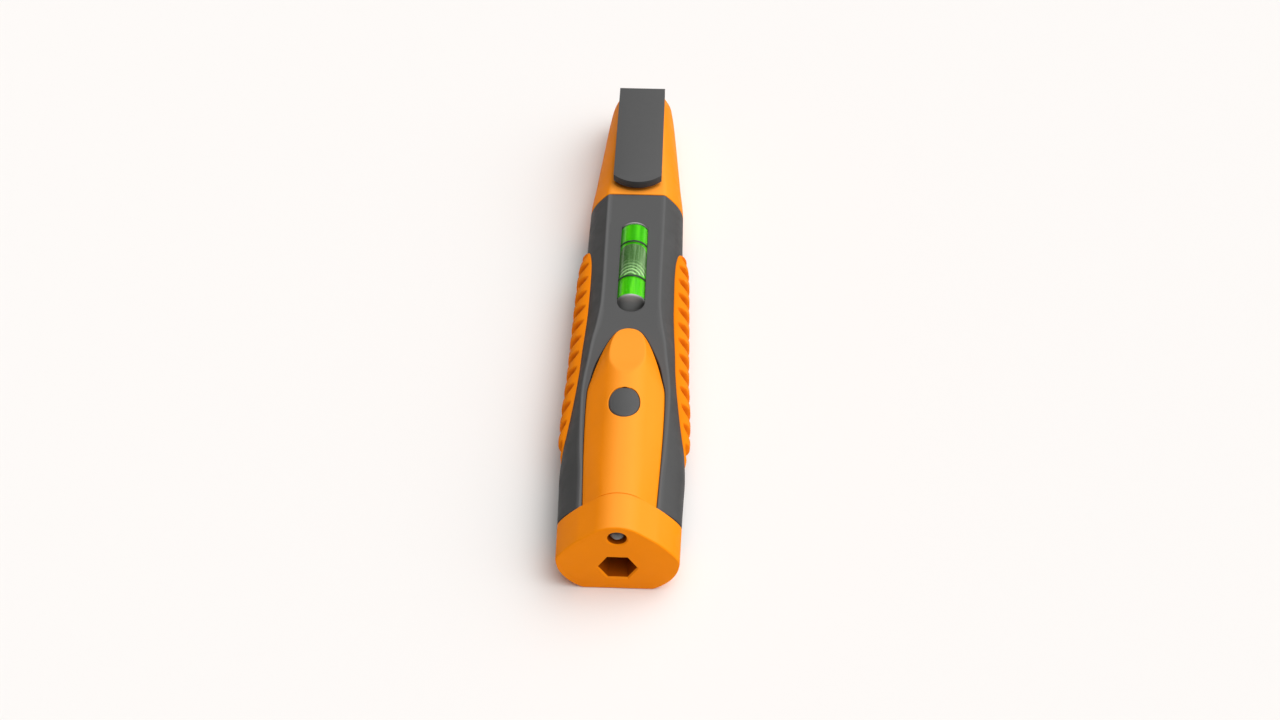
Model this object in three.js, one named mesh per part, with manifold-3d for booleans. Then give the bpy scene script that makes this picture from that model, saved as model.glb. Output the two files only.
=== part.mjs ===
// Pocket stud finder: a tapered pen body that holds a magnet in its nose, a spirit vial, a small lamp and a
// hexagonal bit socket. Millimetres, +Z up. The origin is under the middle of the body, on the flat base;
// +Y points to the nose and the bit socket opens towards -Y.

import * as THREE from 'three';
import { mergeVertices } from 'three/addons/utils/BufferGeometryUtils.js';
import Module from 'manifold-3d';

const wasm = await Module();
wasm.setup();

// ---------------------------------------------------------------- driving dimensions

const GAP = 0.3; // clearance between pieces that touch
const WALL = 1.8; // wall of the two housing shells

const REAR = -74; // rear face, with the bit socket
const NOSE = 74; // tip of the nose
const CAP_SEAM = -65.75; // middle of the seam between rear cap and housing
const NOSE_SEAM = 26.1; // middle of the seam between housing and nose
const PARTING = 8.7; // height of the parting line, where the body is widest
const TOP = 16; // flat top of the nose and of the front of the housing
const CROWN = 19.6; // ridge of the thumb panel and of the rear cap

const CROWN_SLOPE = 0.86; // fall of the crown's flanks, mm per mm
const CROWN_PEAK = 21.6; // height where the two flanks would meet
const CROWN_ROUND = 4.4; // half-width of the rounded ridge

const DECK_TOP = 11.6; // floor of the pocket that the thumb panel sits in
const DECK_BOTTOM = 10; // ceiling of the housing under that pocket
const PANEL_TIP = -18.2; // front end of the thumb panel

const BUTTON_FRONT = -38.7; // front end of the lamp button
const BUTTON_REAR = -46.4;
const BUTTON_WIDEST = -42; // where the button is widest
const BUTTON_HALF = 3.1;
const BUTTON_SQUARENESS = 0.65; // of its front end: 1 would be a half ellipse
const BUTTON_BASE = 15;

const HEX_FLATS = 6.5; // bit socket for 1/4 inch bits, across flats
const HEX_HEIGHT = 6.9; // height of the socket's axis
const HEX_END = -58; // bottom of the socket
const BOSS_END = -55.5; // inner end of the socket's boss
const BOSS_RADIUS = 4.75;

const LED_HEIGHT = 16.1;
const LED_HOLE_RADIUS = 1.85;
const LED_RADIUS = 1.5; // 3 mm lamp
const LED_TIP = -73.8; // just inside the rear face

const VIAL_REAR = -9.8;
const VIAL_FRONT = 14.3;
const VIAL_RADIUS = 3.4;
const VIAL_CLEARANCE = 0.2;
const VIAL_HEIGHT = 14.3; // height of the vial's axis
const VIAL_SLOT_REAR = -13;
const VIAL_SLOT_FRONT = 16.1;
const VIAL_SLOT_HALF = 3.1;
const VIAL_RINGS = { vial_ring_rear: -3.5, vial_ring_front: 7.8 };
const BUBBLE_REAR = -2;
const BUBBLE_FRONT = 6.3;

const CLIP_HALF = 5.65;
const CLIP_TOP = 19;
const CLIP_BOTTOM = 17.2;
const CLIP_FRONT = 64;
const CLIP_TIP = 27.1;
const CLIP_CORNER = 29.7; // where the rounded end meets the clip's sides
const CLIP_FOOT = 12.8; // lowest point of the clip's foot

const CELL_RADIUS = 3.95; // LR41 button cell
const CELL_LENGTH = 3.5;
const CELL_HEIGHT = 5.65; // height of the cells' axis
const CELL_FRONT = -19.3; // front end of the stack of cells
const CELL_COUNT = 3;

const DOOR_THICKNESS = 1.4;
const DOOR_HALF = 5.2;
const DOOR_FRONT = -18.6;
const DOOR_REAR = -40.2;
const DOOR_SCREW_Y = -38.3;

const MAGNET_Y = 58;
const MAGNET_RADIUS = 4.6;

const SECTION_STEPS = 4; // straight steps in each curved part of a section

// ---------------------------------------------------------------- outline of the body along its length

// A smooth curve through [y, value] stations, level wherever the values turn back.
function along(...stations) {
  const points = [...stations].sort((a, b) => a[0] - b[0]);
  const secants = points.slice(1).map((p, i) => (p[1] - points[i][1]) / (p[0] - points[i][0]));
  const slopes = points.map((_, i) => {
    if (i === 0) return secants[0];
    if (i === secants.length) return secants[i - 1];
    const product = secants[i - 1] * secants[i];
    return product > 0 ? (2 * product) / (secants[i - 1] + secants[i]) : 0;
  });
  return (y) => {
    const place = THREE.MathUtils.clamp(y, points[0][0], points.at(-1)[0]);
    const found = points.findIndex((p) => p[0] >= place);
    const i = Math.max(found - 1, 0);
    const [y0, v0] = points[i];
    const [y1, v1] = points[i + 1];
    const span = y1 - y0;
    const t = (place - y0) / span;
    const ease = t * t * (3 - 2 * t);
    const rise = t * (1 - t);
    return v0 * (1 - ease) + v1 * ease + span * rise * ((1 - t) * slopes[i] - t * slopes[i + 1]);
  };
}

// Half-width of the body where it is widest, at the parting height, without the grips.
const sideHalf = along(
  [-74, 11.9], [-69, 12.05], [-64, 12.2], [-59, 12.4], [-54, 12.6], [-47, 12.35], [-40, 11.85],
  [-30, 11.25], [-20, 11], [-10, 10.9], [0, 10.9], [14, 11.05], [26, 11], [36, 10.2], [48, 9.25], [60, 8.25],
  [67.5, 7.45], [74, 6.85],
);
// Half-width and height of the crease at the edge of the top facet.
const creaseHalf = along(
  [-66, 7.7], [-57, 8], [-51, 8.5], [-42, 8.95], [-36, 9.1], [-31, 8.8], [-27, 8.3], [-22, 7.8],
  [-16, 6.9], [-10, 6.4], [-4, 6.35], [6, 6.45], [26, 6.6], [36, 6], [50, 5.6], [74, 4.6],
);
const creaseHeight = along(
  [-66, 14.5], [-50, 14.5], [-38, 14.6], [-31, 15], [-24, 15.6], [-14, TOP], [74, TOP],
);
// Half-width of the flat base.
const baseHalf = along([-74, 6.9], [26, 6.9], [60, 5.4], [74, 4.8]);
const LOWER_STEER = 3; // height that steers the rounding of the lower flank
// Height that steers the rounding of the upper flank.
const shoulderHeight = along([-74, 11], [-40, 11.3], [-16, 11.9], [74, 11.9]);

// Half-width of the thumb panel, from its square at a distance behind the tip: the root rounds the tip off.
const panelSquare = along(
  [0, 0], [1.5, 7.9], [3.8, 17.2], [7.3, 30.5], [11.3, 45.2], [14.1, 54.5], [16.2, 61.6], [17.6, 64.2],
  [20.5, 64.8], [27, 63.2], [47.4, 50.4],
);
function panelHalf(y) {
  return Math.sqrt(panelSquare(PANEL_TIP - y));
}
// Height of the panel's edge, and of the hollow for the thumb, which rises out of the crown behind it.
const panelEdge = along([-66, 14.65], [-35, 14.65], [-29.5, 15.05], [-25.5, 15.5], [-22, 15.85], [-18, TOP]);
const thumbHeight = along(
  [-36.2, 20.8], [-34.2, CROWN], [-32.3, 19.08], [-30.5, 18.6], [-26, 17.68], [-22.2, 16.95], [PANEL_TIP, TOP],
);

// Side grips: the half-width of their crest, and the heights of their upper and lower edges.
const gripHalf = along(
  [13.2, 11.1], [12, 11.6], [11, 11.95], [7.5, 12.45], [4.2, 12.75], [-2.4, 12.85], [-15, 13], [-27, 13.1],
  [-32.7, 13.3], [-38, 13.5], [-44, 13.5], [-49, 13], [-51, 12.75],
);
const gripUpper = along(
  [13.2, 9.2], [12, 10.2], [11, 10.9], [9, 11.9], [5, 12.55], [0, 12.7], [-28, 12.65], [-33, 12.4], [-38, 11.7],
  [-46, 10.2], [-51, 8.8],
);
const gripLower = along(
  [13.2, 7.8], [12, 7], [11, 6.4], [9, 5.3], [5, 4.4], [-28, 4.2], [-38, 5], [-46, 6.6], [-51, 8.1],
);
const GRIP_FRONT = 13.2;
const GRIP_REAR = -51;
const GROOVES = 13;
const GROOVE_PITCH = 4.65;
const FIRST_GROOVE = 9.3;

// A point on the curve from a to c that is steered by b.
function bend(a, b, c, t) {
  const s = 1 - t;
  return [0, 1].map((i) => s * s * a[i] + 2 * s * t * b[i] + t * t * c[i]);
}

// Height of the crown over a point x off its ridge.
function crownHeight(x) {
  const distance = Math.abs(x);
  if (distance >= CROWN_ROUND) return CROWN_PEAK - CROWN_SLOPE * distance;
  const fall = CROWN - (CROWN_PEAK - CROWN_SLOPE * CROWN_ROUND);
  const steepness = (CROWN_SLOPE * CROWN_ROUND) / fall;
  return CROWN - fall * (distance / CROWN_ROUND) ** steepness;
}

// Height of the thumb panel's top: the crown, cut down by the thumb hollow and by a bevel on each side.
function panelHeight(x, y) {
  const bevel = panelEdge(y) + 1.15 * (panelHalf(y) - Math.abs(x));
  return Math.min(crownHeight(x), thumbHeight(y), bevel);
}

// Upper and lower flank of the body as curves, each from the parting height to its far end.
function flanks(y, inset) {
  const side = sideHalf(y) - inset;
  const parting = [side, PARTING];
  const upper = [parting, [side, shoulderHeight(y)], [creaseHalf(y) - 0.6 * inset, creaseHeight(y) - inset]];
  const lower = [parting, [side, LOWER_STEER + 0.5 * inset], [baseHalf(y) - 0.5 * inset, inset]];
  return { upper, lower };
}

// Closed outline from the right half of a section, listed from the base upwards.
function mirrored(half, y) {
  const left = half.filter(([x]) => x > 0).reverse().map(([x, z]) => [-x, z]);
  return [...half, ...left].map(([x, z]) => new THREE.Vector3(x, y, z));
}

function bodySection(y, inset = 0) {
  const { upper, lower } = flanks(y, inset);
  const steps = [...Array(SECTION_STEPS + 1).keys()].map((i) => i / SECTION_STEPS);
  const below = steps.map((t) => bend(...lower, 1 - t));
  const above = steps.slice(1).map((t) => bend(...upper, t));
  return mirrored([...below, ...above], y);
}

const CAP_SHOULDER = 7.6; // half-width where the rear cap's rounded shoulders meet the crown
const CAP_STEER = 10.4; // height that steers their rounding

// The rear cap's section: the same lower flank, with rounded shoulders that run up to the crown.
function capSection(y, inset = 0) {
  const side = sideHalf(y) - inset;
  const { lower } = flanks(y, inset);
  const steps = [...Array(SECTION_STEPS + 1).keys()].map((i) => i / SECTION_STEPS);
  const below = steps.map((t) => bend(...lower, 1 - t));
  const drop = inset * Math.hypot(1, CROWN_SLOPE);
  const top = [CAP_SHOULDER - 0.6 * inset, crownHeight(CAP_SHOULDER - 0.6 * inset) - drop];
  const shoulder = steps.slice(1).map((t) => bend([side, PARTING], [side, CAP_STEER], top, t));
  const ridge = [1, 0.75, 0.5, 0.25, 0].map((f) => [f * CROWN_ROUND, crownHeight(f * CROWN_ROUND) - drop]);
  return mirrored([...below, ...shoulder, ...ridge], y);
}

// ---------------------------------------------------------------- solids

function solid(geometry) {
  const bare = geometry.clone();
  bare.deleteAttribute('normal');
  bare.deleteAttribute('uv');
  const merged = mergeVertices(bare, 1e-5);
  return new wasm.Manifold(
    new wasm.Mesh({
      numProp: 3,
      vertProperties: new Float32Array(merged.attributes.position.array),
      triVerts: new Uint32Array(merged.index.array),
    }),
  );
}

function geometryOf(manifold) {
  const mesh = manifold.getMesh();
  const geometry = new THREE.BufferGeometry();
  geometry.setAttribute('position', new THREE.BufferAttribute(mesh.vertProperties, 3));
  geometry.setIndex(new THREE.BufferAttribute(mesh.triVerts, 1));
  geometry.computeVertexNormals();
  return geometry;
}

// Triangles that close an outline whose points pair up across it, first with last.
function lidTriangles(count) {
  const triangles = [];
  for (let i = 0, j = count - 1; i < j - 1; i += 1, j -= 1) {
    triangles.push([i, i + 1, j]);
    if (i + 1 < j - 1) triangles.push([i + 1, j - 1, j]);
  }
  return triangles;
}

// Skin over a row of closed outlines that have the same number of points, with both ends closed.
function loft(sections) {
  const count = sections[0].length;
  const last = (sections.length - 1) * count;
  const triangles = [];
  for (let start = 0; start < last; start += count) {
    for (let i = 0; i < count; i += 1) {
      const a = start + i;
      const b = start + ((i + 1) % count);
      triangles.push([a, b, a + count], [b, b + count, a + count]);
    }
  }
  for (const [a, b, c] of lidTriangles(count)) {
    triangles.push([a, c, b], [last + a, last + b, last + c]);
  }
  const geometry = new THREE.BufferGeometry();
  const numbers = sections.flat().flatMap((p) => [p.x, p.y, p.z]);
  geometry.setAttribute('position', new THREE.Float32BufferAttribute(numbers, 3));
  geometry.setIndex(triangles.flat());
  const shape = solid(geometry);
  if (shape.volume() > 0) return shape;
  geometry.setIndex(triangles.flatMap(([a, b, c]) => [a, c, b]));
  return solid(geometry);
}

// Even stations from one y to another, with both ends.
function stations(from, to, step) {
  const count = Math.max(1, Math.round(Math.abs(to - from) / step));
  return [...Array(count + 1).keys()].map((i) => from + ((to - from) * i) / count);
}

function bodyLoft(from, to, inset = 0, step = 6) {
  return loft(stations(from, to, step).map((y) => bodySection(y, inset)));
}

function box(x0, x1, y0, y1, z0, z1) {
  const geometry = new THREE.BoxGeometry(x1 - x0, y1 - y0, z1 - z0);
  return solid(geometry.translate((x0 + x1) / 2, (y0 + y1) / 2, (z0 + z1) / 2));
}

// Upright cylinder.
function post(x, y, z0, z1, radius, sides = 16) {
  const geometry = new THREE.CylinderGeometry(radius, radius, z1 - z0, sides).rotateX(Math.PI / 2);
  return solid(geometry.translate(x, y, (z0 + z1) / 2));
}

// Cylinder along Y.
function rod(y0, y1, height, radius, sides = 24) {
  const geometry = new THREE.CylinderGeometry(radius, radius, y1 - y0, sides);
  return solid(geometry.translate(0, (y0 + y1) / 2, height));
}

// Plan outline of [x, y] points, raised from z0 to z1.
function plate(points, z0, z1) {
  const shape = new THREE.Shape(points.map(([x, y]) => new THREE.Vector2(x, y)));
  const geometry = new THREE.ExtrudeGeometry(shape, { depth: z1 - z0, bevelEnabled: false });
  return solid(geometry.translate(0, 0, z0));
}

// Outline of [y, z] points, widened from x0 to x1.
function sidePlate(points, x0, x1) {
  const shape = new THREE.Shape(points.map(([y, z]) => new THREE.Vector2(y, z)));
  const geometry = new THREE.ExtrudeGeometry(shape, { depth: x1 - x0, bevelEnabled: false });
  geometry.rotateY(Math.PI / 2).rotateX(Math.PI / 2);
  return solid(geometry.translate(x0, 0, 0));
}

// Solid of revolution about a line along Y at a height, from [radius, y] points.
function turned(points, height, sides = 24) {
  const profile = points.map(([radius, y]) => new THREE.Vector2(radius, y));
  return solid(new THREE.LatheGeometry(profile, sides).translate(0, 0, height));
}

// ---------------------------------------------------------------- scene graph

const part = new THREE.Group();

const FINISH = {
  greyPlastic: { color: 0x474849, roughness: 0.55, metalness: 0 },
  orangePlastic: { color: 0xf28a1c, roughness: 0.5, metalness: 0 },
  orangeRubber: { color: 0xf0861a, roughness: 0.75, metalness: 0 },
  blackPlastic: { color: 0x1b1b1c, roughness: 0.5, metalness: 0 },
  clear: { color: 0xd8f0d4, roughness: 0.05, metalness: 0 },
  liquid: { color: 0x35c41c, roughness: 0.1, metalness: 0 },
  bubble: { color: 0xcfe6c8, roughness: 0.05, metalness: 0 },
  lens: { color: 0xc9ccd0, roughness: 0.15, metalness: 0 },
  board: { color: 0x1f6b3a, roughness: 0.5, metalness: 0 },
  steel: { color: 0xb8babd, roughness: 0.3, metalness: 1 },
  nickel: { color: 0xc8c8c6, roughness: 0.25, metalness: 1 },
  redWire: { color: 0xb02020, roughness: 0.5, metalness: 0 },
};

function add(name, shape, finish) {
  const mesh = new THREE.Mesh(geometryOf(shape), new THREE.MeshStandardMaterial(FINISH[finish]));
  mesh.name = name;
  part.add(mesh);
  return mesh;
}

// ---------------------------------------------------------------- plan outlines

// Outline of the thumb panel in plan, grown by a margin.
function panelOutline(margin, rear) {
  const behindTip = [3.8, 2.2, 1.1, 0.5, 0.15, 0].map((d) => PANEL_TIP - d);
  const ys = [...stations(rear, -38, 9), -34, -31, -28, -25, ...behindTip];
  const right = ys.map((y) => [Math.max(panelHalf(y), 0.5) + margin, y]);
  const tip = [[0, PANEL_TIP + margin]];
  const left = [...right].reverse().map(([x, y]) => [-x, y]);
  return [...right, ...tip, ...left];
}

// Outline of the lamp button: a squarish curve towards the nose and a half ellipse behind.
function buttonOutline(margin) {
  const half = BUTTON_HALF + margin;
  const points = [];
  const turns = 28;
  for (let i = 0; i < turns; i += 1) {
    const angle = (2 * Math.PI * i) / turns;
    const rise = Math.sin(angle);
    const length = rise > 0 ? BUTTON_FRONT - BUTTON_WIDEST + margin : BUTTON_WIDEST - BUTTON_REAR + margin;
    const squareness = rise > 0 ? BUTTON_SQUARENESS : 1;
    const x = half * Math.sign(Math.cos(angle)) * Math.abs(Math.cos(angle)) ** squareness;
    points.push([x, BUTTON_WIDEST + length * rise]);
  }
  return points;
}

// Slot with round ends along Y.
function slotOutline(half, rear, front) {
  const shape = new THREE.Path();
  shape.absarc(0, front - half, half, 0, Math.PI, false);
  shape.absarc(0, rear + half, half, Math.PI, 2 * Math.PI, false);
  return shape.getPoints(10).map((p) => [p.x, p.y]).slice(0, -1);
}

// Solid under the panel's top surface, between two stations, dropped by a depth and narrowed by a margin.
function panelSolid(from, to, depth, margin, floor, step) {
  const fractions = [-1, -0.92, -0.7, -0.45, -0.2, 0, 0.2, 0.45, 0.7, 0.92, 1];
  const sections = stations(from, to, step).map((y) => {
    const half = panelHalf(y) - margin;
    const top = fractions.map((f) => new THREE.Vector3(f * half, y, panelHeight(f * half, y) - depth));
    return [new THREE.Vector3(-half, y, floor), ...top, new THREE.Vector3(half, y, floor)];
  });
  return loft(sections);
}

// ---------------------------------------------------------------- fasteners

const SCREW_HEAD = 1.7;
const SCREW_SHANK = 0.9;
const SCREW_RECESS = 0.3;
const SCREW_POST = 1.9; // radius of the posts that take the screws

function screwHole(x, y, top) {
  const head = post(x, y, -1, SCREW_RECESS + 1.25, SCREW_HEAD + GAP);
  return head.add(post(x, y, 0, top, SCREW_SHANK + GAP));
}

function addScrew(name, x, y, tip) {
  const profile = [
    [0, SCREW_RECESS], [SCREW_HEAD * 0.8, SCREW_RECESS], [SCREW_HEAD, SCREW_RECESS + 0.3],
    [SCREW_HEAD, SCREW_RECESS + 1], [SCREW_SHANK, SCREW_RECESS + 1], [SCREW_SHANK, tip - 0.7], [0, tip],
  ];
  const lathe = new THREE.LatheGeometry(profile.map(([r, z]) => new THREE.Vector2(r, z)), 16);
  const body = solid(lathe.rotateX(Math.PI / 2).translate(x, y, 0));
  const slot = box(x - 0.95, x + 0.95, y - 0.22, y + 0.22, 0, SCREW_RECESS + 0.55);
  const cross = box(x - 0.22, x + 0.22, y - 0.95, y + 0.95, 0, SCREW_RECESS + 0.55);
  return add(name, body.subtract(slot).subtract(cross), 'steel');
}

const HOUSING_SCREWS = {
  housing_screw_left: [-4.4, -15.5],
  housing_screw_right: [4.4, -15.5],
  housing_screw_rear: [0, -51.8],
};
const HOUSING_SCREW_TIP = 10.6;
const NOSE_SCREW_Y = 23.6;

// ---------------------------------------------------------------- housing shells

const hull = bodyLoft(CAP_SEAM + GAP / 2, NOSE_SEAM - GAP / 2);
const cavityFront = bodyLoft(-17, NOSE_SEAM + 1, WALL);
const cavityRear = bodyLoft(CAP_SEAM - 1, -16, WALL).subtract(box(-20, 20, -80, -15, DECK_BOTTOM, 30));

function addLowerHousing() {
  let shell = hull.subtract(cavityFront).subtract(cavityRear);
  const upperHalf = box(-20, 20, -80, 80, PARTING - GAP / 2, 30);
  shell = shell.subtract(upperHalf);
  const inside = bodyLoft(CAP_SEAM + 1, NOSE_SEAM - 1, WALL - 0.2).subtract(upperHalf);
  const doorFrame = box(-6.6, 6.6, DOOR_REAR - 0.9, DOOR_FRONT + 1.6, 0.5, 3);
  const cellWalls = box(-5.5, 5.5, -36.4, DOOR_FRONT + 1.6, 0.5, 7.6);
  shell = shell.add(doorFrame.intersect(inside)).add(cellWalls.intersect(inside));
  for (const [x, y] of Object.values(HOUSING_SCREWS)) {
    shell = shell.add(post(x, y, 0.5, PARTING - GAP / 2, SCREW_POST));
  }
  shell = shell.subtract(box(-4.4, 4.4, -35.5, DOOR_FRONT + 0.7, -1, 9));
  const doorway = DOOR_HALF + GAP;
  shell = shell.subtract(box(-doorway, doorway, DOOR_REAR - GAP, DOOR_FRONT + GAP, -1, DOOR_THICKNESS + GAP));
  for (const [x, y] of Object.values(HOUSING_SCREWS)) {
    shell = shell.subtract(screwHole(x, y, 9));
  }
  shell = shell.subtract(post(0, DOOR_SCREW_Y, 0, 4, SCREW_SHANK + GAP));
  shell = shell.subtract(screwHole(0, NOSE_SCREW_Y, 4));
  add('lower_housing', shell, 'greyPlastic');
}

function addUpperHousing() {
  let shell = hull.subtract(cavityFront).subtract(cavityRear);
  shell = shell.subtract(box(-20, 20, -80, 80, -1, PARTING + GAP / 2));
  for (const [x, y] of Object.values(HOUSING_SCREWS)) {
    const ceiling = y > -17 ? TOP - 0.8 : DECK_TOP;
    shell = shell.add(post(x, y, PARTING + GAP / 2, ceiling, SCREW_POST));
    shell = shell.subtract(post(x, y, 0, HOUSING_SCREW_TIP + GAP, SCREW_SHANK + GAP));
  }
  shell = shell.subtract(plate(panelOutline(GAP, CAP_SEAM - 1), DECK_TOP, 30));
  const slot = slotOutline(VIAL_SLOT_HALF, VIAL_SLOT_REAR, VIAL_SLOT_FRONT);
  shell = shell.subtract(plate(slot, TOP - WALL - 1, 30));
  const vialBore = VIAL_RADIUS + VIAL_CLEARANCE;
  shell = shell.subtract(rod(VIAL_REAR - GAP, VIAL_FRONT + GAP, VIAL_HEIGHT, vialBore));
  for (const x of [-3.9, 3.9]) {
    shell = shell.subtract(box(x - 0.9, x + 0.9, -35, -32.2, 5, 13));
  }
  shell = shell.subtract(box(-BOSS_RADIUS - GAP, BOSS_RADIUS + GAP, -70, BOSS_END + GAP, 8, 12.5));
  add('upper_housing', shell, 'greyPlastic');
}

// ---------------------------------------------------------------- nose

// Height of the nose along its length: flat, then falling to the tip.
const noseHeight = along([26, TOP], [63.5, TOP], [66, 15.2], [71, 11.4], [74, 8.7]);

const TIP_CORNER = 5.5; // radius of the tip's corners in plan

function noseSection(y, inset = 0) {
  const past = Math.max(0, y - (NOSE - inset - TIP_CORNER));
  const pull = TIP_CORNER - Math.sqrt(Math.max(0, TIP_CORNER ** 2 - past * past));
  const scale = (sideHalf(y) - inset - pull) / (sideHalf(y) - inset);
  return bodySection(y, inset).map((p) => {
    const middle = 6;
    const fall = (noseHeight(y + inset) - middle) / (TOP - middle);
    return new THREE.Vector3(p.x * scale, y, p.z > middle ? middle + (p.z - middle) * fall : p.z);
  });
}

function noseLoft(from, to, inset) {
  const last = to - TIP_CORNER;
  const tip = [0, 0.33, 0.58, 0.77, 0.91, 0.98].map((share) => last + share * TIP_CORNER);
  return loft([...stations(from, last, 5).slice(0, -1), ...tip].map((y) => noseSection(y, inset)));
}

const SPIGOT_REAR = 21.4;

function addNose() {
  const spigotInset = WALL + GAP + 0.1;
  let shell = noseLoft(NOSE_SEAM + GAP / 2, NOSE + 0.1, 0);
  shell = shell.add(bodyLoft(SPIGOT_REAR, NOSE_SEAM + 1, spigotInset, 2));
  shell = shell.subtract(noseLoft(NOSE_SEAM + 1.5, NOSE - 1.6, 1.7));
  shell = shell.subtract(bodyLoft(SPIGOT_REAR - 1, NOSE_SEAM + 2, spigotInset + 1.3, 2));
  const inside = noseLoft(NOSE_SEAM + 1, NOSE - 1, 1);
  const magnetWall = post(0, MAGNET_Y, 1, 7.4, MAGNET_RADIUS + GAP + 1, 28).intersect(inside);
  const screwBoss = box(-2.1, 2.1, SPIGOT_REAR, NOSE_SEAM + 1.2, 2.4, 7);
  shell = shell.add(magnetWall).add(screwBoss);
  shell = shell.subtract(post(0, MAGNET_Y, 1.3, 9, MAGNET_RADIUS + GAP, 28));
  shell = shell.subtract(post(0, NOSE_SCREW_Y, 0, 6.4, SCREW_SHANK + GAP));
  shell = shell.subtract(box(-5.3, 5.3, 60.4, CLIP_FRONT + 0.4, CLIP_FOOT - 0.3, 20));
  add('nose_cap', shell, 'orangePlastic');
}

function addClip() {
  const reach = CLIP_CORNER - CLIP_TIP;
  const radius = (CLIP_HALF * CLIP_HALF + reach * reach) / (2 * reach);
  const spread = Math.asin(CLIP_HALF / radius);
  const outline = [[CLIP_HALF, CLIP_FRONT], [-CLIP_HALF, CLIP_FRONT]];
  for (let i = 0; i <= 10; i += 1) {
    const angle = -spread + (2 * spread * i) / 10;
    outline.push([radius * Math.sin(angle), CLIP_TIP + radius - radius * Math.cos(angle)]);
  }
  const bar = plate(outline, CLIP_BOTTOM, CLIP_TOP);
  const foot = box(-4.9, 4.9, 60.8, CLIP_FRONT, CLIP_FOOT + 1.4, CLIP_BOTTOM + 0.5);
  const barb = box(-4.9, 4.9, 60.8, CLIP_FRONT, CLIP_FOOT + 0.4, CLIP_FOOT + 1.6);
  const corner = CLIP_FRONT + 0.1;
  const ridge = CLIP_TOP + 0.1;
  const bevel = sidePlate([[corner - 0.9, ridge], [corner, ridge], [corner, ridge - 0.9]], -9, 9);
  add('pocket_clip', bar.add(foot).add(barb).subtract(bevel), 'greyPlastic');
}

function addFinderMagnet() {
  add('finder_magnet', post(0, MAGNET_Y, 1.6, 5.4, MAGNET_RADIUS, 28), 'nickel');
  add('magnet_back_plate', post(0, MAGNET_Y, 5.5, 6.7, MAGNET_RADIUS - 0.1, 28), 'steel');
}

// ---------------------------------------------------------------- rear cap with the bit socket

function addRearCap() {
  const front = CAP_SEAM - GAP / 2;
  const spigotFront = -61.5;
  const spigotInset = WALL + GAP + 0.1;
  let shell = loft(stations(REAR, front, 3).map((y) => capSection(y)));
  const spigotTop = box(-20, 20, -80, -50, DECK_BOTTOM - GAP, 30);
  const spigot = bodyLoft(front - 1, spigotFront, spigotInset, 2).subtract(spigotTop);
  shell = shell.add(spigot);
  const core = loft(stations(REAR + 2, front + 1, 3).map((y) => capSection(y, 2)));
  const spigotCore = bodyLoft(front - 2, spigotFront + 1, spigotInset + 1.3, 2).subtract(spigotTop);
  shell = shell.subtract(core).subtract(spigotCore);
  const boss = rod(REAR + 1, BOSS_END, HEX_HEIGHT, BOSS_RADIUS);
  const capCore = loft([REAR, front].map((y) => capSection(y, 0.4)));
  const lampTube = rod(REAR + 1, front, LED_HEIGHT, 2.9).intersect(capCore);
  shell = shell.add(boss).add(lampTube);
  const hexRadius = HEX_FLATS / Math.sqrt(3);
  const hex = new THREE.CylinderGeometry(hexRadius, hexRadius, HEX_END - REAR + 1, 6).rotateY(Math.PI / 6);
  hex.rotateY(Math.PI / 3).translate(0, (HEX_END + REAR - 1) / 2, HEX_HEIGHT);
  shell = shell.subtract(solid(hex));
  shell = shell.subtract(rod(HEX_END - 0.1, BOSS_END + 1, HEX_HEIGHT, 3.7));
  shell = shell.subtract(rod(REAR - 1, front + 1, LED_HEIGHT, LED_HOLE_RADIUS));
  shell = shell.subtract(rod(-69.2, front + 1, LED_HEIGHT, 2.3));
  add('rear_cap', shell, 'orangePlastic');
  add('bit_magnet', rod(HEX_END + 0.1, HEX_END + 2.1, HEX_HEIGHT, 3.4), 'nickel');
}

// ---------------------------------------------------------------- thumb panel and button

function addThumbPanel() {
  const floor = DECK_TOP + GAP;
  const rear = CAP_SEAM + GAP / 2;
  const back = panelSolid(rear, -34.6, 0, 0, floor, 8);
  const front = panelSolid(-34.6, -19.4, 0, 0, floor, 1.5);
  const tip = panelSolid(-19.4, PANEL_TIP - 0.05, 0, 0, floor, 0.3);
  let panel = back.add(front).add(tip);
  panel = panel.subtract(panelSolid(rear - 1, -33, 1.8, 1.5, floor - 1, 8));
  panel = panel.subtract(plate(buttonOutline(0.18), floor - 1, 30));
  add('thumb_panel', panel, 'orangePlastic');
}

function addButton() {
  const crown = panelSolid(-48, -35, 0.02, 0.5, BUTTON_BASE - 1, 2);
  const cap = plate(buttonOutline(0), BUTTON_BASE + 0.1, 30).intersect(crown);
  const flange = plate(buttonOutline(0.55), BUTTON_BASE, BUTTON_BASE + 0.5);
  add('power_button', cap.add(flange), 'greyPlastic');
}

// ---------------------------------------------------------------- lamp electronics

const BOARD_TOP = DECK_TOP + GAP + 0.8;
const SWITCH_TOP = BOARD_TOP + 1.5;

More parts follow.
